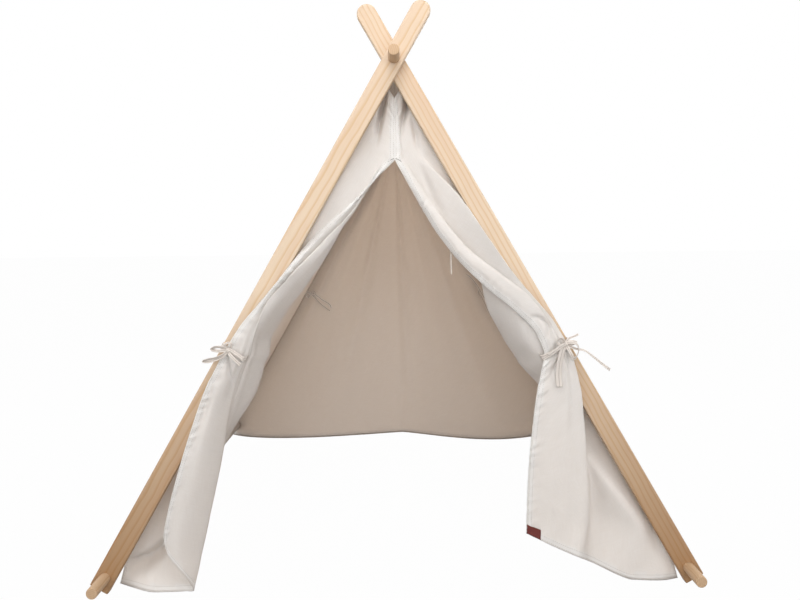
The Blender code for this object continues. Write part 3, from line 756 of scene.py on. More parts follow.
@dataclass(frozen=True)
class WovenLabel:
    """Dense woven satin in a dark red-brown, fine ribs across it, left bare."""

    name: str = "woven_label"
    colour: str = "5c241f"
    ridge: str = "6e3029"
    rib_spacing: float = 0.0009

    def build(self) -> bpy.types.Material:
        """Make the material, its ribs on the piece's own UV map in metres.

        Returns:
            The material.
        """
        made, tree, shader = new_material(self.name, {"Roughness": 0.55, "Specular IOR Level": 0.35})
        wave = {"Vector": add_node(tree, "UVMap", uv_map="cloth"), "Scale": WAVE_UNIT / self.rib_spacing}
        ribs = add_node(tree, "TexWave", wave, "Fac", bands_direction="Y")
        tones = {"Factor": ribs, 6: linear(self.colour), 7: linear(self.ridge)}
        coloured = add_node(tree, "Mix", tones, 2, data_type="RGBA")
        bump = add_node(tree, "Bump", {"Strength": 0.3, "Distance": 0.0003, "Height": ribs})
        fill(shader, {"Base Color": coloured, "Normal": bump})
        return made


@dataclass(frozen=True)
class Viewpoint:
    """The camera, as fitted to the boards' feet, the ridge pole's end and the ground poles' ends."""

    place: tuple[float, float, float] = (0.0, -1.805, 0.783)
    roll: float = math.radians(0.57)
    # In pixels of the photograph: its size, the focal length and where the camera's axis meets it.
    frame_width: float = 800.0
    frame_height: float = 600.0
    focal_length: float = 566.0
    axis_across: float = 395.6
    axis_down: float = 240.0
    sensor_mm: float = 36.0

    def build(self) -> None:
        """Make the camera and make it the scene's."""
        data = bpy.data.cameras.new("camera")
        data.sensor_width = self.sensor_mm
        data.lens = self.focal_length / self.frame_width * self.sensor_mm
        data.shift_x = (self.frame_width / 2 - self.axis_across) / self.frame_width
        data.shift_y = (self.axis_down - self.frame_height / 2) / self.frame_width
        made = bpy.data.objects.new("camera", data)
        bpy.context.scene.collection.objects.link(made)
        made.location = self.place
        made.rotation_euler = (math.pi / 2, self.roll, 0.0)
        bpy.context.scene.camera = made


@dataclass(frozen=True)
class Lamp:
    """A square soft lamp."""

    name: str
    place: tuple[float, float, float]
    target: tuple[float, float, float]
    size: float
    watts: float

    def build(self) -> None:
        """Hang the lamp and aim it."""
        data = bpy.data.lights.new(self.name, "AREA")
        data.shape, data.size, data.energy = "SQUARE", self.size, self.watts
        made = bpy.data.objects.new(self.name, data)
        bpy.context.scene.collection.objects.link(made)
        made.location = self.place
        aim = Vector(self.target) - Vector(self.place)
        made.rotation_euler = aim.to_track_quat("-Z", "Y").to_euler()


@dataclass(frozen=True)
class Studio:
    """A plain pale floor in soft light from the front and above."""

    floor_size: float = 30.0
    floor_drop: float = 0.0004
    floor_grey: str = "a4a4a4"
    floor_camera_white: float = 0.985
    world_strength: float = 0.46
    lamps: tuple[Lamp, ...] = (
        Lamp("front", (0.1, -3.0, 1.3), (0.0, 0.3, 1.1), 1.6, 26.0),
        Lamp("front_left", (-2.3, -2.3, 1.4), (0.35, 0.0, 0.85), 1.1, 16.0),
        Lamp("front_right", (2.3, -2.3, 1.4), (-0.35, 0.0, 0.85), 1.1, 14.0),
        Lamp("overhead", (0.0, -1.4, 2.4), (0.0, -0.4, 1.0), 1.1, 16.5),
        Lamp("rear", (0.1, 1.75, 2.0), (0.0, 0.55, 1.0), 1.6, 40.0),
        Lamp("left", (-2.3, 0.4, 1.5), (-0.3, 0.0, 0.6), 1.6, 12.0),
        Lamp("right", (2.3, 0.4, 1.5), (0.3, 0.0, 0.6), 1.6, 12.0),
    )

    def build(self) -> None:
        """Make the floor, the lamps and the world."""
        self.floor()
        for lamp in self.lamps:
            lamp.build()
        self.world()
        bpy.context.scene.view_settings.view_transform = "Standard"

    def floor(self) -> None:
        """Make the floor, which shows nearly white and keeps the tent's shadow."""
        material, tree, shader = new_material("studio_floor", {})
        tree.nodes.remove(shader)
        matt = add_node(tree, "BsdfDiffuse", {"Color": linear(self.floor_grey)})
        white = add_node(tree, "Emission", {"Color": WHITE, "Strength": 1.0})
        shown = {0: self.seen_rays(tree), 1: self.floor_camera_white}
        share = add_node(tree, "Math", shown, operation="MULTIPLY")
        mixed = add_node(tree, "MixShader", {"Fac": share, 1: matt, 2: white})
        fill(tree.nodes["Material Output"], {"Surface": mixed})
        plane = bmesh.new()
        bmesh.ops.create_grid(plane, x_segments=1, y_segments=1, size=self.floor_size)
        bmesh.ops.translate(plane, vec=(0, 0, -self.floor_drop), verts=plane.verts)
        new_object("floor", plane, material)

    def world(self) -> None:
        """Light everything evenly, with white behind the tent."""
        world = bpy.data.worlds.new("studio")
        bpy.context.scene.world = world
        world.use_nodes = True
        tree = world.node_tree
        fill(tree.nodes["Background"], {"Color": WHITE, "Strength": self.world_strength})
        soft = tree.nodes["Background"].outputs[0]
        white = add_node(tree, "Background", {"Color": WHITE, "Strength": 1.0})
        mixed = add_node(tree, "MixShader", {"Fac": self.seen_rays(tree), 1: soft, 2: white})
        fill(tree.nodes["World Output"], {"Surface": mixed})

    def seen_rays(self, tree: bpy.types.NodeTree) -> bpy.types.NodeSocket:
        """One for rays that show the backdrop, straight or by reflection, and zero for those that light.

        Args:
            tree: The node tree that asks.

        Returns:
            The socket with the answer.
        """
        path = add_node(tree, "LightPath").node.outputs
        both = {0: path["Is Glossy Ray"], 1: path["Is Transmission Ray"]}
        mirrored = add_node(tree, "Math", both, operation="MAXIMUM")
        return add_node(tree, "Math", {0: path["Is Camera Ray"], 1: mirrored}, operation="MAXIMUM")


DOOR_CREASES = {
    Side.LEFT: (
        # The tuck near the ridge and a fine one beside it.
        Crease((
            (-20.5, 1122, 34, 6.2), (-29, 1087, 42, 7.4), (-35.2, 1052, 26, 6.6), (-39.2, 1022, 9, 5.8),
            (-44, 990, 0, 6),
        )),
        Crease(((-10.6, 1133, 3, 2), (-10.8, 1110, 3, 2.2), (-11.2, 1080, 0, 2))),
        # The deep tuck at the foot.
        Crease((
            (-625, 50, 10, 8), (-612, 40, 34, 12), (-587.5, 42, 46, 13), (-564.6, 56, 46, 13),
            (-541.6, 75, 34, 12), (-525, 95, 12, 10),
        ), (0.0, 0.72)),
        # Two that run down from the tie, and a shallow one below the top.
        Crease((
            (-375.2, 530, 6, 3), (-372.1, 509.5, 10, 3.5), (-369.1, 476, 7, 5), (-375.1, 420, 0, 8),
        ), (0.55, 1.0)),
        Crease((
            (-405, 495, 0, 5), (-412.5, 466, 5, 6), (-422.9, 421, 7, 7), (-437.8, 373, 4, 8),
            (-460, 310, 0, 10),
        ), (0.55, 1.0)),
        Crease(((-43, 918, 0, 2.5), (-53, 908, 3, 2.8), (-76.3, 883, 4, 2.8), (-99.5, 860, 0, 2.8))),
    ),
    Side.RIGHT: (
        # The tuck near the ridge and two below it.
        Crease((
            (33.8, 1124, 34, 6), (30.2, 1105, 42, 7.2), (24, 1078, 30, 6.2), (17.8, 1050, 12, 5),
            (12, 1015, 0, 4),
        )),
        Crease(((40, 1072, 0, 5), (48, 1030, 10, 6), (54, 985, 0, 7))),
        Crease(((56, 960, 0, 6), (71.3, 920, 6, 8), (89.2, 874, 6, 7), (116.5, 837, 0, 6))),
        # One above the tie and two that run down from it.
        Crease((
            (301, 608.5, 0, 4), (318, 607, 6, 4.5), (330, 601, 9, 5), (341, 587, 10, 5), (344, 560, 4, 4),
        ), (0.45, 1.0)),
        Crease((
            (373.3, 540, 8, 3), (364.1, 515.5, 10, 3.6), (350.5, 489, 5, 5), (339.2, 460, 0, 7),
        ), (0.60, 1.0)),
        Crease(((354.4, 544, 6, 3), (355, 530, 7, 3), (354.5, 512, 0, 3)), (0.60, 1.0)),
    ),
}


@dataclass(frozen=True)
class FlapLine:
    """A fold line down a door flap, in millimetres.

    It has five stops above the tie, two at the ends of the gathered neck, three below it and one at the
    hem. The outs are how far each lies out of the board's middle, and for the hem how far inside the
    board's foot. Each y lies behind a face: c is the roof cloth's front end, f and b are the front and back
    of the board. The middle share says how near to the middle seam the line starts over the door, and
    the rise how far forward it comes at the door's top.
    """

    middle_share: float
    rise: float
    outs: tuple[float, ...]
    faces: str
    behind: tuple[float, ...]
    lower_shares: tuple[float, float, float] = (0.16, 0.43, 0.76)
    foot_height: float = 1.5


# The shares of the way from the door's top to the tie at which the five upper stops lie.
UPPER_SHARES = {
    Side.LEFT: (0.228, 0.432, 0.623, 0.767, 0.892),
    Side.RIGHT: (0.283, 0.461, 0.632, 0.767, 0.892),
}

# From beside the corner seam to the free edge.
FLAP_LINES = {
    Side.LEFT: (
        # Trough, fold and roll.
        FlapLine(
            0.25, -4, (-16, -30, -18, -14, -16, -22, -22, -26, -12, -15, 65), "bbccccccccc",
            (3, 5, 10, 26, 34, 40, 40, 50, 50, 50, -20), (0.16, 0.43, 0.74),
        ),
        FlapLine(
            0.50, -5, (-60, -77.5, -70, -59, -54, -70, -70, -84, -72, -70, 112), "ccccccccccc",
            (-16, 2, 18, 30, 40, 48, 48, 58, 64, 50, -38),
        ),
        FlapLine(
            0.72, -4, (-86, -74, -54.5, -40, -37, -48.5, -48.5, -64.5, -85, -125, 151), "cccfbbbbbbc",
            (-8, -16, -28, 6, 4, 12, 12, 28, 51, 41, -39),
        ),
        # Limb, groove, lapel and free edge.
        FlapLine(
            0.80, -3.5, (-84.5, -60, -34.5, -20.5, -28.5, -39, -39, -53.5, -92, -143, 180), "ccffffffffc",
            (-14, -23, -6, -12, -2, 16, 16, 28, 50, 42, -37.5),
        ),
        FlapLine(
            0.86, -3, (-85.5, -64, -38, -22, -26.5, -34, -34, -46, -99, -160, 209), "ccffffffffc",
            (-6, -9, 6, -4.5, -2, 3, 3, 13, 30, 25, -36),
        ),
        FlapLine(
            0.94, -1.5, (-78.5, -49, -25.5, -10.5, -10, -16.5, -16.5, -20.5, -62, -112, 196), "ccfffffffff",
            (-16, -26, -9, -12.5, -10, -9, -9, -11.5, -11, -13, -11), (0.15, 0.42, 0.73), 48,
        ),
        FlapLine(
            1.0, 0, (-71, -34.5, -19, -5, 8.5, 11, 11, 8, -18, -58, 150), "ccfffffffff",
            (-10, -20, -8, -8, -7, -6.5, -6.5, -11, -18, -21, -20), (0.14, 0.39, 0.66), 109,
        ),
    ),
    Side.RIGHT: (
        # Trough, bulge and the hidden part.
        FlapLine(
            0.20, 2, (-10, -10, -18, -26, -36, -38, -38, -28, -12, -10, 73), "ccccccccccc",
            (-1, 4, 18, 34, 48, 55, 55, 42, 26, 14, -13),
        ),
        FlapLine(
            0.40, 0, (-22, -40, -78, -95, -95, -92, -92, -75, -64, -50, 139), "ccccccccbbc",
            (1, 10, 26, 44, 58, 62, 62, 52, 12, -4, -9), (0.16, 0.46, 0.74),
        ),
        FlapLine(
            0.52, 0, (-30.5, -31, -34.5, -52.5, -58.5, -52.5, -52.5, -58.5, -80, -125, 221), "ffffbbbbbbc",
            (14, 5, 7, 6, -12, -12, -12, -10, 8, 26, 1), (0.16, 0.47, 0.68), 34,
        ),
        # Lip, groove, limb, roll and free edge.
        FlapLine(
            0.62, 0, (-27, -19.5, -9.5, 1, 11.5, 13, 13, -8, -93.5, -150, 262), "fffffffffff",
            (3, -6, -8, -8, -7.5, -8, -8, -10.5, -6, -6.5, -14.5), (0.16, 0.48, 0.65), 68,
        ),
        FlapLine(
            0.84, 5, (-88, -73.5, -37.5, -8.5, 1.5, 2, 2, -26.5, -119, -175, 290), "ccfffffffff",
            (2, -3, 3, -4.5, -8, -10, -10, -12, -9.5, -9.5, -14.5), (0.15, 0.45, 0.61), 80,
        ),
        FlapLine(
            0.88, 0, (-85, -69, -32, -4.5, 3, 0, 0, -34, -131, -187, 304), "cffffffffff",
            (-14, -1, -12, -13, -13.5, -14, -14, -15, -11, -11, -14.5), (0.145, 0.435, 0.59), 86,
        ),
        FlapLine(
            0.94, 0, (-98.5, -86.5, -54, -26, -13, -12, -12, -45, -145, -200, 319), "cffffffffff",
            (-18, -3, -14, -14, -14.5, -15, -15, -15.5, -12.5, -12.5, -14.5), (0.14, 0.42, 0.57), 93,
        ),
        FlapLine(
            1.0, 0, (-111.5, -102, -78, -50, -32.5, -40, -55, -95.3, -190, -250, 384), "ccfffffffff",
            (-7, -14, -2, -6, -8, -10, -14, -15.5, -14.5, -14.5, -14.5), (0.09, 0.31, 0.47), 125,
        ),
    ),
}


@dataclass
class DoorFlap:
    """A door flap: sewn to its corner and to its twin at the top, and gathered into a tie on its board."""

    tent: TentFrame
    fabric: Fabric
    side: Side
    door_top_below_ridge: float = 0.2222
    middle_top_below_ridge: float = 0.081
    # How far below the ridge pole's sleeve the corner seam starts, and how much lower its first two stops.
    corner_top: float = 0.024
    corner_drops: tuple[float, float] = (0.004, 0.022)
    tie_from_ridge: float = 0.750
    tie_neck: float = 0.016
    seam_half_gap: float = 0.0003
    row_step: float = 0.0045
    columns: int = 121
    cut_width: float = 0.40
    cut_length: float = 1.36
    cut_area: float = 0.268
    pleats: int = 9
    pleat_depth: float = 0.0028
    pleat_reach: float = 0.045
    pressed_reach: float = 0.010
    board_clearance: float = 0.0013
    corner_radius: float = 0.042
    arch: tuple[tuple[float, float], ...] = ((0.0150, -0.0040), (0.0070, 0.0015), (0.0008, 0.0035))
    points: np.ndarray | None = None

    def lines(self) -> np.ndarray:
        """Fold lines, corner seam first and free edge last, as (down, out, y) at each station.

        Returns:
            For each line a stop under the ridge, one at the door's top and then those of its FlapLine.
        """
        tent, tie, neck = self.tent, self.tie_from_ridge, self.tie_neck / 2
        cloth_y, front_y = -tent.cloth_end + tent.cad_cloth, tent.front_y(self.side)
        faces = {"c": cloth_y, "f": front_y, "b": front_y + tent.board_thickness}
        door_down, door_out = tent.down_out(0, tent.ridge_height - self.door_top_below_ridge)
        middle_down, middle_out = tent.down_out(0, tent.ridge_height - self.middle_top_below_ridge)
        top_down, _ = tent.down_out(0, tent.ridge_height - tent.sleeve_radius - self.corner_top)
        top_down += self.corner_drops[0]
        seam = self.fabric.seam_out(tent)
        corner = FlapLine(
            0, 0, (seam / MM,) * 10 + (30,), "c" * 11, (0,) * 10 + (-4,), (0.16, 0.43, 0.74)
        )
        runs = []
        for line in (corner, *FLAP_LINES[self.side]):
            share = line.middle_share
            foot = tent.down_out(tent.foot_x - line.outs[-1] * MM, line.foot_height * MM)
            downs = [door_down + part * (tie - door_down) for part in UPPER_SHARES[self.side]]
            downs += [tie - neck, tie + neck]
            downs += [tie + part * (tent.ground_from_ridge - tie) for part in line.lower_shares] + [foot[0]]
            outs = [out * MM for out in line.outs[:-1]] + [foot[1]]
            ys = [faces[face] + behind * MM for face, behind in zip(line.faces, line.behind)]
            over = (top_down + (middle_down - top_down) * share, seam + (middle_out - seam) * share, cloth_y)
            door = (door_down + self.corner_drops[1] * (1 - share), seam + (door_out - seam) * share)
            runs.append([over, (*door, cloth_y + line.rise * MM), *zip(downs, outs, ys)])
        return np.array(runs)

    def surface(self) -> np.ndarray:
        """The flap's middle surface.

        Returns:
            Rows by columns of world places, corner seam in the first column and free edge in the last.
        """
        lines = self.lines()
        downs = lines[:, :, 0].mean(axis=0)
        rows = round((downs[-1] - downs[0]) / self.row_step) + 1
        stations = np.interp(np.linspace(downs[0], downs[-1], rows), downs, np.arange(len(downs)))
        runs = []
        for points in lines:
            sewn = points[0] + (points[1] - points[0]) * stations[:, None]
            free = eased(points[1:], np.maximum(stations - 1, 0))
            runs.append(np.where((stations <= 1)[:, None], sewn, free))
        across = np.linspace(0, len(lines) - 1, self.columns)
        beside = self.gathered(rounded(np.array(runs), across).transpose(1, 0, 2))
        x, z = self.tent.across_up(beside[..., 0], beside[..., 1])
        x = np.maximum(x, self.seam_half_gap) * self.side.value
        return np.stack([x, beside[..., 2], np.maximum(z, self.tent.hem_clearance)], axis=-1)

    def gathered(self, beside: np.ndarray) -> np.ndarray:
        """Pleat the cloth into its tie and keep it clear of the board.

        Args:
            beside: Rows by columns of (down, out, y).

        Returns:
            The moved places.
        """
        half = np.array([self.tent.board_width, self.tent.board_thickness]) / 2
        middle = np.array([0.0, self.tent.front_y(self.side) + half[1]])
        section = beside[..., 1:]
        nearest = np.clip(section - middle, -half, half) + middle
        away = section - nearest
        away = away / np.maximum(np.linalg.norm(away, axis=-1), 1e-9)[..., None]
        from_tie = beside[..., 0] - self.tie_from_ridge
        columns = np.linspace(0, 1, beside.shape[1])[None, :]
        # The pleats swell on both sides of the tie, are pressed flat under it and start beside the seam.
        swell = np.exp(-((np.abs(from_tie) / self.pleat_reach) ** 1.3))
        swell = swell * (1 - 0.8 * np.exp(-((from_tie / self.pressed_reach) ** 2)))
        wander = 1.3 * np.sin(columns * 9.0 + self.side.value) + from_tie * 6.0
        pleats = 0.5 + 0.5 * np.sin(2 * math.pi * self.pleats * columns + wander)
        depth = self.pleat_depth * swell * pleats * np.clip(columns * 6 - 1.0, 0, 1)
        section = section + away * depth[..., None]
        gap = np.maximum(self.board_clearance - np.linalg.norm(section - nearest, axis=-1), 0)
        near_board = (np.abs(section[..., 0]) < half[0] + 0.01)[..., None]
        section = section + np.where(near_board, away * gap[..., None], 0)
        return np.concatenate([beside[..., :1], section], axis=-1)

    def corner_rounded(self, points: np.ndarray) -> np.ndarray:
        """Round the flap's free corner and keep the rest where it is.

        Args:
            points: Rows by columns by three.

        Returns:
            The moved places.
        """
        rows, columns = points.shape[:2]
        deep = int((edge_distance(points, Hem.LAST_ROW)[:, -1] < self.corner_radius).sum())
        wide = int((edge_distance(points, Hem.LAST_COLUMN)[-1] < self.corner_radius).sum())
        across, along = np.linspace(0, 1, wide)[None, :], np.linspace(0, 1, deep)[:, None]
        column = columns - wide + (wide - 1) * across * np.sqrt(1 - along**2 / 2)
        row = rows - deep + (deep - 1) * along * np.sqrt(1 - across**2 / 2)
        left, upper = np.minimum(column.astype(int), columns - 2), np.minimum(row.astype(int), rows - 2)
        right_share, lower_share = (column - left)[..., None], (row - upper)[..., None]
        above = points[upper, left] * (1 - right_share) + points[upper, left + 1] * right_share
        below = points[upper + 1, left] * (1 - right_share) + points[upper + 1, left + 1] * right_share
        moved = points.copy()
        moved[rows - deep :, columns - wide :] = above * (1 - lower_share) + below * lower_share
        return moved

    def door_top(self) -> tuple[np.ndarray, np.ndarray]:
        """Half of the arch over the door's top, where the two flaps are sewn together.

        Returns:
            Places on the flap's middle surface and the cloth's normals there.
        """
        apex = self.tent.ridge_height - self.door_top_below_ridge
        path = []
        for out, rise in self.arch:
            x, z = self.side.value * out, apex + rise
            nearest = np.linalg.norm(self.points[..., [0, 2]] - (x, z), axis=-1).argmin()
            path.append((x, self.points[..., 1].flat[nearest], z))
        return np.array(path), np.tile([0.0, -1.0, 0.0], (len(path), 1))

    def build(self, canvas: bpy.types.Material) -> None:
        """Make the flap.

        Args:
            canvas: The cover's material.
        """
        points = self.surface()
        for crease in DOOR_CREASES[self.side]:
            points = crease.press(points)
        facing = -float(self.side.value)
        points = self.fabric.creased(points, seed=3.0 + self.side.value)
        points = self.fabric.puckered(points, Hem.LAST_COLUMN, 11.0, 0.0042, facing)
        points = self.fabric.puckered(points, Hem.LAST_ROW, 17.0, 0.0008, facing)
        self.points = self.corner_rounded(points) if self.side is Side.LEFT else points
        word, hems = self.side.word, (Hem.LAST_COLUMN, Hem.LAST_ROW)
        made = self.fabric.sheet(f"{word}_door_flap_cloth", self.points, canvas, self.side.body, hems)
        stand_for(f"{word}_door_flap")
        self.tent.fold(made, self.side)


@dataclass
class RoofPanel:
    """A side of the roof, from over the ridge pole to the tunnel round its ground pole."""

    tent: TentFrame
    fabric: Fabric
    side: Side
    tunnel_ease: float = 0.0006
    over_ridge: float = math.radians(24)
    over_rows: int = 7
    settles_within: float = 0.08
    seam_height: float = 0.045
    seam_rows: int = 6
    sag: float = 0.034
    ripple: float = 0.004
    ripples: int = 3
    sag_towards_door: float = 0.72
    row_step: float = 0.008
    column_step: float = 0.008
    round_rows: int = 28
    points: np.ndarray | None = None

    @property
    def tunnel_middle(self) -> float:
        """Radius of the cloth's middle round the ground pole."""
        return self.tent.pole_radius + self.tunnel_ease + self.tent.cad_cloth / 2

    def path(self) -> np.ndarray:
        """The panel's cross-section, from the ridge to the seam above the ground pole.

        Returns:
            Rows of down, out and how much the cloth may sag there.
        """
        tent, middle, ground = self.tent, self.tunnel_middle, self.tent.ground_from_ridge
        over = tent.sleeve_radius + self.fabric.thickness
        rows = []
        for angle in math.pi / 2 + self.over_ridge * np.linspace(1, 0, self.over_rows):
            rows.append((over * math.cos(angle), over * math.sin(angle), 0.0))
        for share in np.linspace(0, 1, round(ground / self.row_step))[1:]:
            out = over + (middle - over) * min(share / self.settles_within, 1)
            rows.append((share * ground, out, math.sin(math.pi * share) ** 2))
        # Round the pole the cloth leaves the circle where it points at the seam, and runs straight there.
        seam = (-self.seam_height, middle - tent.cad_cloth - tent.seat_gap)
        leaves = math.atan2(seam[1], seam[0]) + math.acos(middle / math.hypot(*seam)) - 2 * math.pi
        for angle in np.linspace(math.pi / 2, leaves, self.round_rows)[1:]:
            rows.append((ground + middle * math.cos(angle), middle * math.sin(angle), 0.0))
        last, end = np.array(rows[-1]), np.array([ground + seam[0], seam[1], 0.0])
        for share in np.linspace(0, 1, self.seam_rows)[1:]:
            rows.append(tuple(last + (end - last) * share))
        return np.array(rows)

    def surface(self) -> np.ndarray:
        """The panel's middle surface, rows down the slope and columns from the door to the rear.

        Returns:
            Rows by columns of world places.
        """
        columns = round(2 * self.tent.cloth_end / self.column_step) + 1
        across = np.linspace(0, 1, columns)[None, :]
        down, out, slack = (column[:, None] for column in self.path().T)
        slack = slack * np.sin(math.pi * across**self.sag_towards_door) ** 1.5
        ripple = np.cos(2 * math.pi * self.ripples * across + 0.8 * self.side.value)
        x, z = self.tent.across_up(down, out - slack * (self.sag + self.ripple * ripple))
        y = self.tent.cloth_end * (2 * across - 1) + 0 * x
        return np.stack([self.side.value * x, y, z], axis=-1)

    def build(self, canvas: bpy.types.Material) -> None:
        """Make the panel.

        Args:
            canvas: The cover's material.
        """
        word, tent = self.side.word, self.tent
        self.points = self.fabric.creased(self.surface(), 31.0 + self.side.value, stretch=(2.0, 3.0))
        made = self.fabric.sheet(f"{word}_roof_cloth", self.points, canvas, self.side.body)
        stand_for(f"{word}_side_panel")


@dataclass
class RearWall:
    """The triangular rear wall, two broad slack folds meeting near its middle."""

    tent: TentFrame
    fabric: Fabric
    left_billow: float = 0.060
    right_billow: float = 0.098
    billow_growth: float = 1.3
    meeting: float = 0.03
    corner_spread: float = 0.006
    row_step: float = 0.0075
    columns: int = 181
    tunnel_room: float = 0.0158
    # How far above the ground pole the wall's edge starts to spread to the board's foot.
    spread_height: float = 0.045
    # Each soft fold that falls from the ridge: where it ends at the hem, its depth and its width.
    soft_folds: tuple[tuple[float, float, float], ...] = (
        (-0.86, 0.016, 0.06),
        (-0.62, -0.016, 0.09),
        (-0.36, 0.018, 0.06),
        (0.08, 0.018, 0.05),
        (0.34, -0.014, 0.08),
        (0.58, 0.014, 0.07),
        (0.80, -0.012, 0.07),
    )
    points: np.ndarray | None = None

    def edge(self, fraction: np.ndarray) -> tuple[np.ndarray, np.ndarray]:
        """The sloping edge, from the ridge at 0 to the floor at 1.

        Args:
            fraction: Shares of the way down.

        Returns:
            The half width and the height at each.
        """
        tent, seam = self.tent, self.fabric.seam_out(self.tent)
        sine, cosine = math.sin(tent.tilt), math.cos(tent.tilt)
        drop = tent.sleeve_radius + tent.seat_gap
        top_down = drop * cosine + (seam + drop * sine) / cosine * sine
        floor_down, floor_out = tent.down_out(tent.foot_x + self.corner_spread, tent.hem_clearance)
        narrows = tent.ground_from_ridge - self.spread_height
        down = top_down + (floor_down - top_down) * fraction
        share = np.clip((down - narrows) / (floor_down - narrows), 0, 1)
        width, height = tent.across_up(down, seam + (floor_out - seam) * share)
        pole_x, pole_z = tent.across_up(tent.ground_from_ridge, 0.0)
        room = np.sqrt(np.maximum(self.tunnel_room**2 - (height - pole_z) ** 2, 0))
        beside_pole = np.abs(height - pole_z) < self.tunnel_room
        return np.where(beside_pole, np.minimum(width, pole_x - room), width), height

    def hang(self, across: np.ndarray) -> np.ndarray:
        """How far the wall hangs inwards at its hem.

        Args:
            across: Places from -1 at the left to 1 at the right.

        Returns:
            The distance at each.
        """
        left = np.clip((across + 1) / (1 + self.meeting), 0, 1)
        right = np.clip((across - self.meeting) / (1 - self.meeting), 0, 1)
        left_fold = self.left_billow * np.sin(math.pi * left**0.65)
        return np.where(across < self.meeting, left_fold, self.right_billow * np.sin(math.pi * right**1.15))

    def surface(self) -> np.ndarray:
        """The wall's middle surface, rows from the ridge to the hem and columns from left to right.

        Returns:
            Rows by columns of world places.
        """
        fraction = np.linspace(0, 1, round(self.tent.ridge_height / self.row_step) + 1)
        width, height = self.edge(fraction)
        across = np.linspace(-1, 1, self.columns)
        x = width[:, None] * across[None, :]
        inwards = self.hang(across)[None, :] * (fraction**self.billow_growth)[:, None]
        slack = np.sin(math.pi * fraction)[:, None] * (1 - np.abs(across) ** 6)[None, :]
        for middle, depth, spread in self.soft_folds:
            inwards = inwards + depth * slack * np.exp(-(((across - middle) / spread) ** 2))[None, :]
        y = self.tent.cloth_end - self.tent.cad_cloth - inwards
        return np.stack([x, y, np.broadcast_to(height[:, None], x.shape)], axis=-1)

    def build(self, canvas: bpy.types.Material) -> None:
        """Make the wall.

        Args:
            canvas: The cover's material.
        """
        points = self.fabric.creased(self.surface(), 47.0, stretch=(1.4, 3.0))
        self.points = self.fabric.puckered(points, Hem.LAST_ROW, 53.0, 0.0012)
        # The wall's hem gets the full painted shade along its last row.
        made = self.fabric.sheet("rear_wall_cloth", self.points, canvas, "ridge", (Hem.LAST_ROW,), hem_shade=1.0)
        stand_for("back_panel")
        self.fold(made)

    def fold(self, piece: bpy.types.Object) -> None:
        """Give a soft piece of the wall its own copy of its mesh."""
        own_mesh(piece)


@dataclass
class RidgeSleeve:
    """The fold of the cover that lies round the ridge pole."""

    tent: TentFrame
    fabric: Fabric
    sides: int = 48
    length_steps: int = 80

    def build(self, canvas: bpy.types.Material) -> None:
        """Make the sleeve.

        Args:
            canvas: The cover's material.
        """
        tent = self.tent
        radius = tent.sleeve_radius - tent.cad_cloth / 2
        turn = np.linspace(0, 2 * math.pi, self.sides)[None, :]
        y = np.linspace(-tent.cloth_end, tent.cloth_end, self.length_steps)[:, None]
        height = tent.ridge_height - radius * np.cos(turn)
        points = np.stack([radius * np.sin(turn) + 0 * y, y + 0 * turn, height + 0 * y], axis=-1)
        made = self.fabric.sheet("ridge_sleeve_cloth", points, canvas, "ridge")
        stand_for("ridge_sleeve")


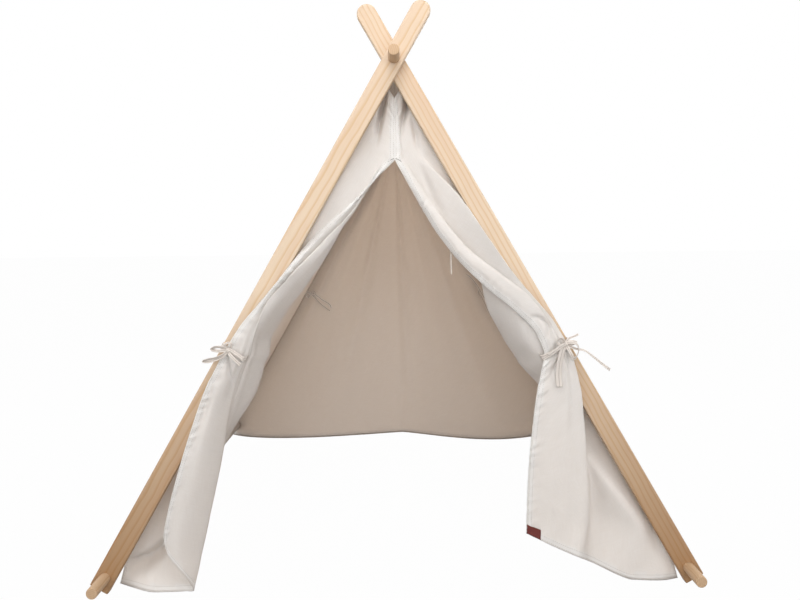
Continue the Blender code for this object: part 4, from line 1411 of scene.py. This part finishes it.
@dataclass
class WoodenFrame:
    """Four flat boards and three round poles, all bare wood."""

    tent: TentFrame
    edge_round: float = 0.003
    edge_steps: int = 4
    arc_steps: int = 32
    hole_clearance: float = 0.0003
    round_sides: int = 64
    pole_end_round: float = 0.0022
    hole_from_top: float = 0.145
    drill_length: float = 0.2
    sharp_angle: float = math.radians(40)

    def eased_edges(self, source: bmesh.types.BMesh, edges: list[bmesh.types.BMEdge], radius: float) -> None:
        """Round some edges of a piece of wood."""
        bmesh.ops.bevel(
            source,
            geom=edges,
            offset=radius,
            affect="EDGES",
            segments=self.edge_steps,
            profile=0.5,
            material=-1,
        )

    def finish(
        self,
        made: bpy.types.Object,
        node: str,
        body: str,
        shift: tuple[float, float],
        place: Matrix,
    ) -> None:
        """Give a piece its grain, bring it to its place and let it ride.

        Args:
            made: The piece, still along its own Z axis.
            node: Its CAD node.
            body: The frame body that carries it.
            shift: Where beside and along the grain's pattern it was cut.
            place: From its own axes to the tent's.
        """
        mesh = made.data
        grain = mesh.attributes.new("grain", "FLOAT_VECTOR", "POINT")
        values = [(v.co.x + shift[0], v.co.y, v.co.z + shift[1]) for v in mesh.vertices]
        grain.data.foreach_set("vector", [c for value in values for c in value])
        mesh.transform(place)
        mesh.shade_smooth()
        mesh.set_sharp_from_angle(angle=self.sharp_angle)
        made.modifiers.new("normals", "WEIGHTED_NORMAL").keep_sharp = True
        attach(made, body)
        stand_for(node)
        LOG.info("%s", made.name)

    def board(self, name: str, side: Side, shift: float, pine: bpy.types.Material) -> None:
        """Make a board with a round top, a sawn foot and its two pole holes.

        Args:
            name: Its CAD node.
            side: Which side its foot is on.
            shift: Where along the grain's pattern this board was sawn.
            pine: The wood's material.
        """
        tent = self.tent
        half, foot = tent.board_width / 2, tent.foot_from_ridge
        arc_centre = self.hole_from_top - half
        blank = bmesh.new()
        first = blank.verts.new((half, 0, arc_centre))
        bmesh.ops.spin(
            blank,
            geom=[first],
            cent=(0, 0, arc_centre),
            axis=(0, -1, 0),
            angle=math.pi,
            steps=self.arc_steps,
            use_merge=False,
        )
        last = min(blank.verts, key=lambda v: (v.co.x, v.co.z))
        sawn = [blank.verts.new((-half, 0, -foot)), blank.verts.new((half, 0, -foot))]
        for ends in ((last, sawn[0]), (sawn[0], sawn[1]), (sawn[1], first)):
            blank.edges.new(ends)
        face = bmesh.ops.contextual_create(blank, geom=list(blank.edges))["faces"]
        extruded = bmesh.ops.extrude_face_region(blank, geom=face)
        moved = [v for v in extruded["geom"] if isinstance(v, bmesh.types.BMVert)]
        bmesh.ops.translate(blank, vec=(0, tent.board_thickness, 0), verts=moved)
        bmesh.ops.recalc_face_normals(blank, faces=blank.faces)
        rims = [e for e in blank.edges if abs(e.verts[0].co.y - e.verts[1].co.y) < tent.board_thickness / 2]
        long_rims = [e for e in rims if max(v.co.z for v in e.verts) > -foot + half]
        self.eased_edges(blank, long_rims, self.edge_round)
        made = new_object(name + "_board", blank, pine)
        for down in (0.0, tent.ground_from_ridge):
            self.drill(made, down)
        below = made.data.attributes.new("down", "FLOAT", "POINT")
        below.data.foreach_set("value", [-v.co.z for v in made.data.vertices])
        low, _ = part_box(name)
        turn = Matrix.Rotation(-side.value * tent.tilt, 4, "Y")
        place = Matrix.Translation((0, low.y, tent.ridge_height)) @ turn
        self.finish(made, name, side.body, (shift * 0.017, shift), place)

    def drill(self, made: bpy.types.Object, down: float) -> None:
        """Cut one pole hole through a board that still lies in its own axes.

        Args:
            made: The board.
            down: How far the hole is below the ridge pole's axis.
        """
        bit = self.round_bar(self.tent.pole_radius + self.hole_clearance, self.drill_length)
        bmesh.ops.rotate(bit, cent=(0, 0, 0), matrix=Matrix.Rotation(math.pi / 2, 3, "X"), verts=bit.verts)
        bmesh.ops.translate(bit, vec=(0, 0, -down), verts=bit.verts)
        cutter = new_object("drill", bit, None)
        cut = made.modifiers.new("hole", "BOOLEAN")
        cut.operation, cut.solver, cut.object = "DIFFERENCE", "EXACT", cutter
        graph = bpy.context.evaluated_depsgraph_get()
        drilled, whole = bpy.data.meshes.new_from_object(made.evaluated_get(graph)), made.data
        made.modifiers.clear()
        made.data = drilled
        name = whole.name
        bpy.data.meshes.remove(whole)
        drilled.name = name
        bpy.data.objects.remove(cutter, do_unlink=True)

    def round_bar(self, radius: float, length: float) -> bmesh.types.BMesh:
        """Make a round bar along Z about the origin.

        Args:
            radius: Its radius.
            length: Its length.

        Returns:
            The bar.
        """
        bar = bmesh.new()
        bmesh.ops.create_cone(
            bar, cap_ends=True, segments=self.round_sides, radius1=radius, radius2=radius, depth=length
        )
        return bar

    def pole(self, name: str, body: str, shift: float, wood: bpy.types.Material) -> None:
        """Make a round pole with eased ends.

        Args:
            name: Its CAD node.
            body: The frame body that carries it.
            shift: Where along the grain's pattern it was turned.
            wood: The wood's material.
        """
        low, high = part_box(name)
        length = high.y - low.y
        bar = self.round_bar(self.tent.pole_radius, length)
        rims = [e for e in bar.edges if abs(e.verts[0].co.z - e.verts[1].co.z) < length / 2]
        self.eased_edges(bar, rims, self.pole_end_round)
        made = new_object(name + "_pole", bar, wood)
        place = Matrix.Translation((low + high) / 2) @ Matrix.Rotation(math.pi / 2, 4, "X")
        self.finish(made, name, body, (shift * 0.02, shift), place)

    def build(self, pine: bpy.types.Material, pole_wood: bpy.types.Material) -> None:
        """Make all the boards and poles.

        Args:
            pine: The boards' material.
            pole_wood: The poles' material.
        """
        for number, place in enumerate(("front", "rear")):
            for side in Side:
                self.board(f"{place}_leg_{side.word}", side, 2.3 * number + 1.1 * side.value, pine)
        self.pole("ridge_dowel", "ridge", 0.7, pole_wood)
        for side in Side:
            self.pole(f"{side.word}_ground_dowel", side.body, 1.9 * side.value, pole_wood)


@dataclass
class Stitching:
    """Machine stitches along hems and seams, lying on both faces of the cloth.

    The real stitches are finer; these are drawn coarser so that they show.
    """

    thread: bpy.types.Material
    spacing: float = 0.0052
    length: float = 0.0038
    radius: float = 0.00042
    flatness: float = 0.8
    stitches: list[Matrix] = field(default_factory=list)

    def row(self, points: np.ndarray, hem: Hem, inset: float, proud: float) -> None:
        """Sew a row beside an edge of a panel's grid.

        Args:
            points: Rows by columns by three, the panel's middle surface.
            hem: The edge.
            inset: How far from the edge the row runs.
            proud: How far a stitch lies off the middle surface.
        """
        from_edge = edge_distance(points, hem)
        lines = np.concatenate([points, grid_normals(points)], axis=-1)
        if hem.axis == 0:
            lines, from_edge = lines.transpose(1, 0, 2), from_edge.T
        if hem.is_last:
            lines, from_edge = lines[:, ::-1], from_edge[:, ::-1]
        path = np.array([at_run(inset, run, line) for run, line in zip(from_edge, lines)])
        self.along(path[:, :3], path[:, 3:], proud)

    def along(self, path: np.ndarray, normals: np.ndarray, proud: float) -> None:
        """Sew along a path.

        Args:
            path: Places by three.
            normals: The cloth's normals there.
            proud: How far a stitch lies off the path on each face.
        """
        run = path_lengths(path)
        for number in range(int(run[-1] / self.spacing)):
            middle = (number + 0.5) * self.spacing
            start, end = (at_run(middle + step, run, path) for step in (-self.length / 2, self.length / 2))
            normal, forward = Vector(at_run(middle, run, normals)).normalized(), Vector(end - start)
            if forward.length < 1e-6:
                continue
            for face in (-1, 1):
                self.stitch(Vector((start + end) / 2) + normal * (face * proud), forward, normal)

    def stitch(self, centre: Vector, forward: Vector, normal: Vector) -> None:
        """Add one stitch.

        Args:
            centre: Its middle.
            forward: From its one end to the other.
            normal: The cloth's normal.
        """
        length, forward = forward.length / 2, forward.normalized()
        side = forward.cross(normal).normalized()
        up = side.cross(forward) * self.radius * self.flatness
        axes = Matrix((side * self.radius, up, forward * length)).transposed().to_4x4()
        self.stitches.append(Matrix.Translation(centre) @ axes)

    def build(self, name: str, body: str) -> bpy.types.Object:
        """Make all the stitches sewn so far as one piece.

        Args:
            name: The piece's name.
            body: The frame body that it rides on.

        Returns:
            The piece.
        """
        one = bmesh.new()
        bmesh.ops.create_icosphere(one, subdivisions=1, radius=1.0)
        pattern = bpy.data.meshes.new("stitch")
        one.to_mesh(pattern)
        one.free()
        threads = bmesh.new()
        for _ in self.stitches:
            threads.from_mesh(pattern)
        threads.verts.ensure_lookup_table()
        corners = len(pattern.vertices)
        for number, place in enumerate(self.stitches):
            for vert in threads.verts[number * corners : (number + 1) * corners]:
                vert.co = place @ vert.co
        bpy.data.meshes.remove(pattern)
        made = new_object(name, threads, self.thread)
        made.data.shade_smooth()
        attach(made, body)
        LOG.info("%s: %d stitches", name, len(self.stitches))
        self.stitches = []
        return made


@dataclass
class Strands:
    """Flat strands of folded tape, gathered into one piece."""

    width: float = 0.0085
    thickness: float = 0.0016
    sides: int = 12
    step: float = 0.0012
    # How square the tape's section is, how far its fold dips and how much its ends thin out.
    squareness: float = 0.6
    fold_dip: float = 0.12
    end_taper: float = 0.45
    source: bmesh.types.BMesh = field(default_factory=bmesh.new)

    def sweep(self, places: Sequence[Vector], facings: Sequence[Vector], width: float = 1.0) -> None:
        """Sweep the flat section along a smooth curve.

        Args:
            places: Places that the strand passes through.
            facings: Which way its flat side looks at each.
            width: Its width as a share of the tape's own.
        """
        control = np.concatenate([np.array(places), np.array(facings)], axis=1)
        rough = rounded(control, np.linspace(0, len(places) - 1, 12 * len(places)))
        run = path_lengths(rough[:, :3])
        steps = max(int(run[-1] / self.step), 6)
        at = np.linspace(0, run[-1], steps + 1)
        curve = at_run(at, run, rough)
        tangents = np.gradient(curve[:, :3], axis=0)
        layers = self.source.verts.layers.float_vector
        layer = layers.get("strand") or layers.new("strand")
        made = bmesh.ops.create_grid(self.source, x_segments=self.sides, y_segments=steps, size=0.5)["verts"]
        for vert in made:
            number, ring = round((vert.co.x + 0.5) * self.sides), round((vert.co.y + 0.5) * steps)
            tangent = Vector(tangents[ring]).normalized()
            flat = tangent.cross(Vector(curve[ring, 3:])).normalized()
            up = flat.cross(tangent)
            turn = 2 * math.pi * (number % self.sides) / self.sides
            across = math.cos(turn) * self.width * width / 2
            rise = math.copysign(abs(math.sin(turn)) ** self.squareness, math.sin(turn)) * self.thickness / 2
            fold = self.fold_dip * self.thickness * math.cos(2 * turn)
            taper = self.end_taper if ring in (0, steps) else 1.0
            vert.co = Vector(curve[ring, :3]) + flat * across + up * (rise * taper + fold)
            vert[layer] = (across, at[ring], 0.0)
        bmesh.ops.remove_doubles(self.source, verts=made, dist=1e-6)

    def bow(self, knot: Vector, width: float, stops: Sequence[tuple[float, ...]]) -> None:
        """Sweep a loop or an end of a bow, given by its offsets from the knot.

        Args:
            knot: The middle of the knot.
            width: Its width as a share of the tape's own.
            stops: For each place the offsets along X, Y and Z in mm and its twist off the viewer in degrees.
        """
        places = [knot + Vector(stop[:3]) / 1000 for stop in stops]
        viewer = Vector((0, -1, 0))
        facings = []
        for number, stop in enumerate(stops):
            ahead = places[min(number + 1, len(places) - 1)] - places[max(number - 1, 0)]
            twist = math.radians(stop[3])
            facings.append(viewer * math.cos(twist) + viewer.cross(ahead.normalized()) * math.sin(twist))
        self.sweep(places, facings, width)

    def turn(self, knot: Vector, axis: Vector, radius: float) -> None:
        """Sweep one turn round the middle of a bow.

        Args:
            knot: The middle of the knot.
            axis: The turn's axis.
            radius: The turn's radius.
        """
        first = axis.orthogonal().normalized()
        second = axis.normalized().cross(first)
        outwards = [first * math.cos(a) + second * math.sin(a) for a in np.linspace(0, 2 * math.pi, 9)]
        self.sweep([knot + out * radius for out in outwards], outwards, 0.8)

    def build(self, name: str, node: str, body: str, tape: bpy.types.Material) -> bpy.types.Object:
        """Make the piece.

        Args:
            name: Its name.
            node: Its CAD node.
            body: The frame body that it rides on.
            tape: Its material.

        Returns:
            The piece.
        """
        open_edges = [edge for edge in self.source.edges if edge.is_boundary]
        bmesh.ops.holes_fill(self.source, edges=open_edges, sides=0)
        bmesh.ops.recalc_face_normals(self.source, faces=self.source.faces)
        made = new_object(name, self.source, tape)
        made.data.shade_smooth()
        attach(made, body)
        stand_for(node)
        LOG.info("%s", name)
        return made


# Each strand's width share, and its offsets from the knot along X, Y and Z in millimetres with its twist
# in degrees.
FRONT_BOWS = {
    Side.LEFT: (
        # Two loops to the left, one above the knot and two ends to the right.
        (0.85, (
            (0, 0, 2, 10), (-10, -5, 7, 25), (-24, -7, 8.5, 30), (-34.5, -6, 4, 50), (-26, -2, -1, 30),
            (-12, -2, -1, 25), (0, 0, 0, 10),
        )),
        (0.8, (
            (0, 0, 0, 10), (-8, -4, -8, 30), (-24, -8, -15, 40), (-40, -8, -18, 35), (-53.5, -6, -22.5, 60),
            (-41, -3, -24.5, 35), (-25, -3, -20, 40), (-9, -2, -12, 30), (0, 0, 0, 10),
        )),
        (0.7, (
            (0, 0, 2, 10), (-6, -4, 10, 30), (-1, -5, 16.5, 50), (7, -4, 15, 50), (6, -3, 7, 30),
            (2, 0, 2, 10),
        )),
        (0.85, ((0, 0, 2, 0), (9, -6, 0, 15), (21, -6, -8, 25), (34, -3, -18.5, 15))),
        (0.85, ((0, 0, -2, 0), (6, -8, -9, 10), (17, -9, -20, 20), (28.5, -4, -32.5, 15))),
    ),
    Side.RIGHT: (
        # A short end and the long hanging one, three loops, and the two ends on the right.
        (1.0, ((2, -2, 2, 0), (-9, -8, -1, 10), (-22, -9, -10, 10), (-38.5, -5, -23.5, 5))),
        (1.7, ((0, 0, 0, 0), (-8, -5, -12, 20), (-14, -4, -38, 20), (-16, -2, -66, 10), (-14, -1, -94, 5))),
        (0.85, (
            (0, 0, 3, 10), (12, -7, 6, 30), (23.5, -8, 1, 50), (27.5, -7, -11, 60), (23, -6, -24, 50),
            (16.5, -7, -30, 30), (9.5, -8, -18, 15), (2, -2, -2, 10),
        )),
        (0.65, ((0, 0, 2, 10), (10, -4, 8, 35), (24, -4, 6, 60), (15, -2, 0, 35), (0, 0, 0, 10))),
        (0.7, (
            (0, 0, 2, 10), (-7, -5, 12, 30), (-14, -6, 14.5, 50), (-20, -5, 6, 50), (-12, -3, -1, 30),
            (0, 0, 0, 10),
        )),
        (0.6, ((2, 2, 4, 20), (10, 4, 13, 35), (21, 6, 16.5, 40), (31.5, 7, 21.5, 30))),
        (0.8, (
            (0, 0, 0, 10), (22, -3, -9, 40), (42, -2, -13.5, 55), (62, -1, -28, 40), (81.5, 0, -44, 30),
            (99, 1, -57.5, 15),
        )),
    ),
}

REAR_ENDS = {
    Side.LEFT: (
        (1.1, ((0, 0, 0, 20), (14, -8, 3, 30), (44, -12, -20, 20), (77, -16, -40, 5), (84, -17, -54, 0))),
        (0.85, ((0, 0, 0, 20), (18, -8, -14, 50), (42, -14, -39, 35), (79, -22, -66, 30))),
        (0.8, ((0, 0, 0, 20), (-10, -6, 10, 50), (-17, -8, 0, 70), (-9, -6, -13, 50), (0, 0, 0, 20))),
        (0.8, ((0, 0, 0, 20), (8, -8, 12, 50), (19, -10, 8, 70), (14, -8, -6, 50), (0, 0, 0, 20))),
    ),
    Side.RIGHT: (
        (1.0, ((0, 0, 0, 20), (-20, -10, 30, 30), (-43, -14, 60, 20), (-62, -16, 74, 10))),
        (1.1, (
            (-20, -8, 34, 30), (-7, -10, 6, 20), (14, -16, -31, 10), (26, -22, -55, 10), (40, -28, -84, 0),
        )),
        (0.8, ((0, 0, 0, 20), (-4, -10, -14, 50), (10, -20, -48, 60), (30, -28, -92, 40))),
        (0.8, ((0, 0, 0, 20), (-12, -6, 8, 50), (-16, -8, -4, 70), (-6, -6, -12, 50), (0, 0, 0, 20))),
    ),
}


@dataclass
class Ties:
    """The tapes tied round the front boards and in the rear corners, and the tape on the door's edge."""

    tent: TentFrame
    tape: bpy.types.Material
    rear_tape: bpy.types.Material
    from_ridge: float = 0.746
    wrap_spread: float = 0.0038
    rear_above: float = 0.036

    def front(self, side: Side) -> None:
        """Tie a door flap to its board, with two turns of tape and a bow.

        Args:
            side: Which door flap.
        """
        tent, tie, edge, left = self.tent, self.from_ridge, self.tent.board_width / 2, side is Side.LEFT
        front_y = tent.front_y(side)
        back_y = front_y + tent.board_thickness
        # How far the gathered cloth keeps the tape off the board's front and its inner edge.
        proud, inside = (0.0112, -edge - 0.0156) if left else (0.0176, -edge - 0.0270)
        outer, seam_y, face_y = edge + 0.0022, -tent.cloth_end - 0.001, front_y - proud
        # Out and y of the tape's places, from the corner seam round the outer edge to behind the cloth.
        band = [
            (0.013, seam_y),
            (edge - 0.002, min(back_y + 0.002, seam_y)),
            (outer, back_y - 0.004),
            (outer, front_y + 0.003),
            (edge - 0.004, front_y - proud * 0.6),
            (0.006, face_y),
            (-edge - 0.005, face_y),
            (inside, face_y + 0.004),
            (inside, front_y + 0.004),
            (inside, back_y - 0.003),
        ]
        middle = tent.beside_board(side, tie, -0.004, front_y + 0.004)
        strands = Strands()
        for lean in (-1, 1):
            places = [
                tent.beside_board(side, tie + lean * self.wrap_spread * math.cos(0.8 * number), *spot)
                for number, spot in enumerate(band)
            ]
            strands.sweep(places, [(place - middle).normalized() for place in places])
        knot = tent.beside_board(side, tie - 0.002, 0.004 if left else 0.009, face_y - 0.003)
        along = tent.way(side, 1, 0)
        beside = along.cross(Vector((0, 1, 0)))
        strands.turn(knot, beside + 0.4 * along, 0.0052)
        strands.turn(knot, beside - 0.9 * along, 0.0046)
        for width, stops in FRONT_BOWS[side]:
            strands.bow(knot, width, stops)
        strands.build(f"front_{side.word}_tape", f"front_{side.word}_tie", side.body, self.tape)

    def rear(self, side: Side) -> None:
        """Knot the tape in a rear corner, its ends hanging beside the wall.

        Args:
            side: Which rear corner.
        """
        down, seam_y = self.from_ridge - self.rear_above, self.tent.cloth_end - 0.020
        start = self.tent.beside_board(side, down, 0.0125, seam_y)
        knot = self.tent.beside_board(side, down, -0.007, seam_y - 0.006)
        inwards, along = (knot - start).normalized(), self.tent.way(side, 1, 0)
        strands = Strands(width=0.0095)
        halfway = start.lerp(knot, 0.5) + Vector((0, -0.002, 0))
        strands.sweep([start, halfway, knot], [inwards.cross(along)] * 3)
        strands.turn(knot, along + 0.5 * inwards, 0.0050)
        strands.turn(knot, inwards - 0.6 * along, 0.0046)
        for width, stops in REAR_ENDS[side]:
            strands.bow(knot, width, stops)
        name = f"rear_{side.word}_tape"
        self.tent.fold(strands.build(name, f"rear_{side.word}_tie", side.body, self.rear_tape), side)

    def door_edge(self) -> None:
        """Hang the short closing tape on the right flap's free edge."""
        low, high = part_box("door_edge_tape")
        x, y = (low.x + high.x) / 2, low.y - 0.0006
        strands = Strands(width=0.0034, thickness=0.0012)
        places = [
            Vector((x + 0.0012, y - 0.0012, high.z + 0.004)),
            Vector((x + 0.0002, y - 0.0014, high.z - 0.010)),
            Vector((x - 0.0006, y - 0.0006, (low.z + high.z) / 2)),
            Vector((x + 0.0003, y + 0.0006, low.z + 0.002)),
        ]
        strands.sweep(places, [Vector((lean, -1, 0)) for lean in (0.3, 0.2, -0.4, 0.0)])
        made = strands.build("door_edge_strand", "door_edge_tape", Side.RIGHT.body, self.tape)
        self.tent.fold(made, Side.RIGHT)

    def build(self) -> None:
        """Make them all."""
        for side in Side:
            self.front(side)
            self.rear(side)
        self.door_edge()


@dataclass
class CornerLabel:
    """The small bare label sewn to the free corner of the right flap, following the cloth."""

    tent: TentFrame
    fabric: Fabric
    flap: np.ndarray
    width: float = 0.034
    height: float = 0.020
    inset: float = 0.0012
    thickness: float = 0.0007
    gap: float = 0.0003
    rows: int = 9
    columns: int = 13

    def __post_init__(self) -> None:
        """Measure the flap once."""
        self.up = edge_distance(self.flap, Hem.LAST_ROW)[:, -1]
        self.beside = edge_distance(self.flap, Hem.LAST_COLUMN)
        self.lines = np.concatenate([self.flap, grid_normals(self.flap)], axis=-1)

    def place(self, from_edge: float, from_hem: float) -> tuple[np.ndarray, np.ndarray]:
        """A place on the flap and the way it faces there.

        Args:
            from_edge: Distance from the free edge.
            from_hem: Distance up from the hem.

        Returns:
            The place on the flap's middle surface and the outward normal.
        """
        row = np.interp(-from_hem, -self.up, np.arange(len(self.up)))
        upper, lower = (
            at_run(from_edge, self.beside[whole, ::-1], self.lines[whole, ::-1])
            for whole in (int(row), min(int(row) + 1, len(self.up) - 1))
        )
        mixed = upper + (lower - upper) * (row % 1)
        normal = mixed[3:] / np.linalg.norm(mixed[3:])
        return mixed[:3], normal if normal[1] < 0 else -normal

    def build(self, woven: bpy.types.Material, thread: bpy.types.Material) -> None:
        """Make the label and its stitches.

        Args:
            woven: The label's material.
            thread: The stitches' material.
        """
        proud = self.fabric.hem_thickness / 2 + self.thickness / 2 + self.gap
        points, normals = np.empty((2, self.rows, self.columns, 3))
        for row, column in np.ndindex(self.rows, self.columns):
            from_edge = self.inset + self.width * column / (self.columns - 1)
            from_hem = self.inset + self.height * row / (self.rows - 1)
            place, normals[row, column] = self.place(from_edge, from_hem)
            points[row, column] = place + normals[row, column] * proud
        body = Side.RIGHT.body
        made = Fabric(thickness=self.thickness).sheet("corner_label_woven", points, woven, body)
        stand_for("corner_label")
        self.tent.fold(made, Side.RIGHT)
        sewing = Stitching(thread, spacing=0.0026, length=0.0020, radius=0.00028)
        step = points[:, 1] - points[:, 0]
        step = step / np.linalg.norm(step, axis=-1, keepdims=True) * self.inset
        for column, inwards in ((0, step), (-1, -step)):
            sewing.along(points[:, column] + inwards, normals[:, column], self.thickness / 2 + STITCH_PROUD)
        self.tent.fold(sewing.build("corner_label_stitches", body), Side.RIGHT)


def main() -> None:
    """Build the tent's pieces in order and report each."""
    logging.basicConfig(level=logging.INFO, format="%(name)s: %(message)s")
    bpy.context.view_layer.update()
    Viewpoint().build()
    Studio().build()
    tent, fabric = TentFrame.measured(), Fabric()
    canvas = CottonCanvas().build()
    pine = PlanedPine().build()
    pole_wood = PlanedPine(name="turned_dowel", early="cdb08f", late="bd9972", ring_spacing=0.0040).build()
    tape = CottonTape().build()
    # The rear tapes are a paler copy of the same tape, painted light for the light they catch, and their
    # real seam line is drawn much darker, painted shade along their middle.
    rear_tape = CottonTape(name="rear_tape_painted_light_and_shade", colour="fcf9f5", seam="5f554c").build()
    thread = SewingThread("cover_thread", "c2b7ac").build()
    # The bartack's thread is darker than the cover's: painted shade along the door's top.
    painted_shade_thread = SewingThread("bartack_thread", "8d857e").build()
    WoodenFrame(tent).build(pine, pole_wood)
    RidgeSleeve(tent, fabric).build(canvas)
    sewing, hem_insets = Stitching(thread), (0.0035, 0.0115)
    flat, hemmed = fabric.thickness / 2 + STITCH_PROUD, fabric.hem_thickness / 2 + STITCH_PROUD
    for side in Side:
        roof = RoofPanel(tent, fabric, side)
        roof.build(canvas)
        for edge in (*SIDE_SEAMS, Hem.LAST_ROW):
            sewing.row(roof.points, edge, SEAM_INSET, flat)
        sewing.build(f"{side.word}_roof_stitches", side.body)
        flap = DoorFlap(tent, fabric, side)
        flap.build(canvas)
        sewing.row(flap.points, Hem.FIRST_COLUMN, SEAM_INSET, flat)
        for inset in hem_insets:
            sewing.row(flap.points, Hem.LAST_COLUMN, inset, hemmed)
            sewing.row(flap.points, Hem.LAST_ROW, inset, hemmed)
        tent.fold(sewing.build(f"{side.word}_door_flap_stitches", side.body), side)
        # The close stitches over the door's top stand a little higher than the hem's; their thread is drawn
        # dark, painted shade of the cloth folded over them.
        bartack = Stitching(painted_shade_thread, spacing=0.0016, length=0.0034, radius=0.0007)
        bartack.along(*flap.door_top(), hemmed + 0.0004)
        tent.fold(bartack.build(f"{side.word}_door_bartack", side.body), side)
    woven, label_thread = WovenLabel().build(), SewingThread("label_thread", "4a1f18").build()
    CornerLabel(tent, fabric, flap.points).build(woven, label_thread)
    wall = RearWall(tent, fabric)
    wall.build(canvas)
    for edge in SIDE_SEAMS:
        sewing.row(wall.points, edge, SEAM_INSET, flat)
    for inset in hem_insets:
        sewing.row(wall.points, Hem.LAST_ROW, inset, hemmed)
    wall.fold(sewing.build("rear_wall_stitches", "ridge"))
    Ties(tent, tape, rear_tape).build()


if __name__ == "__main__":
    main()
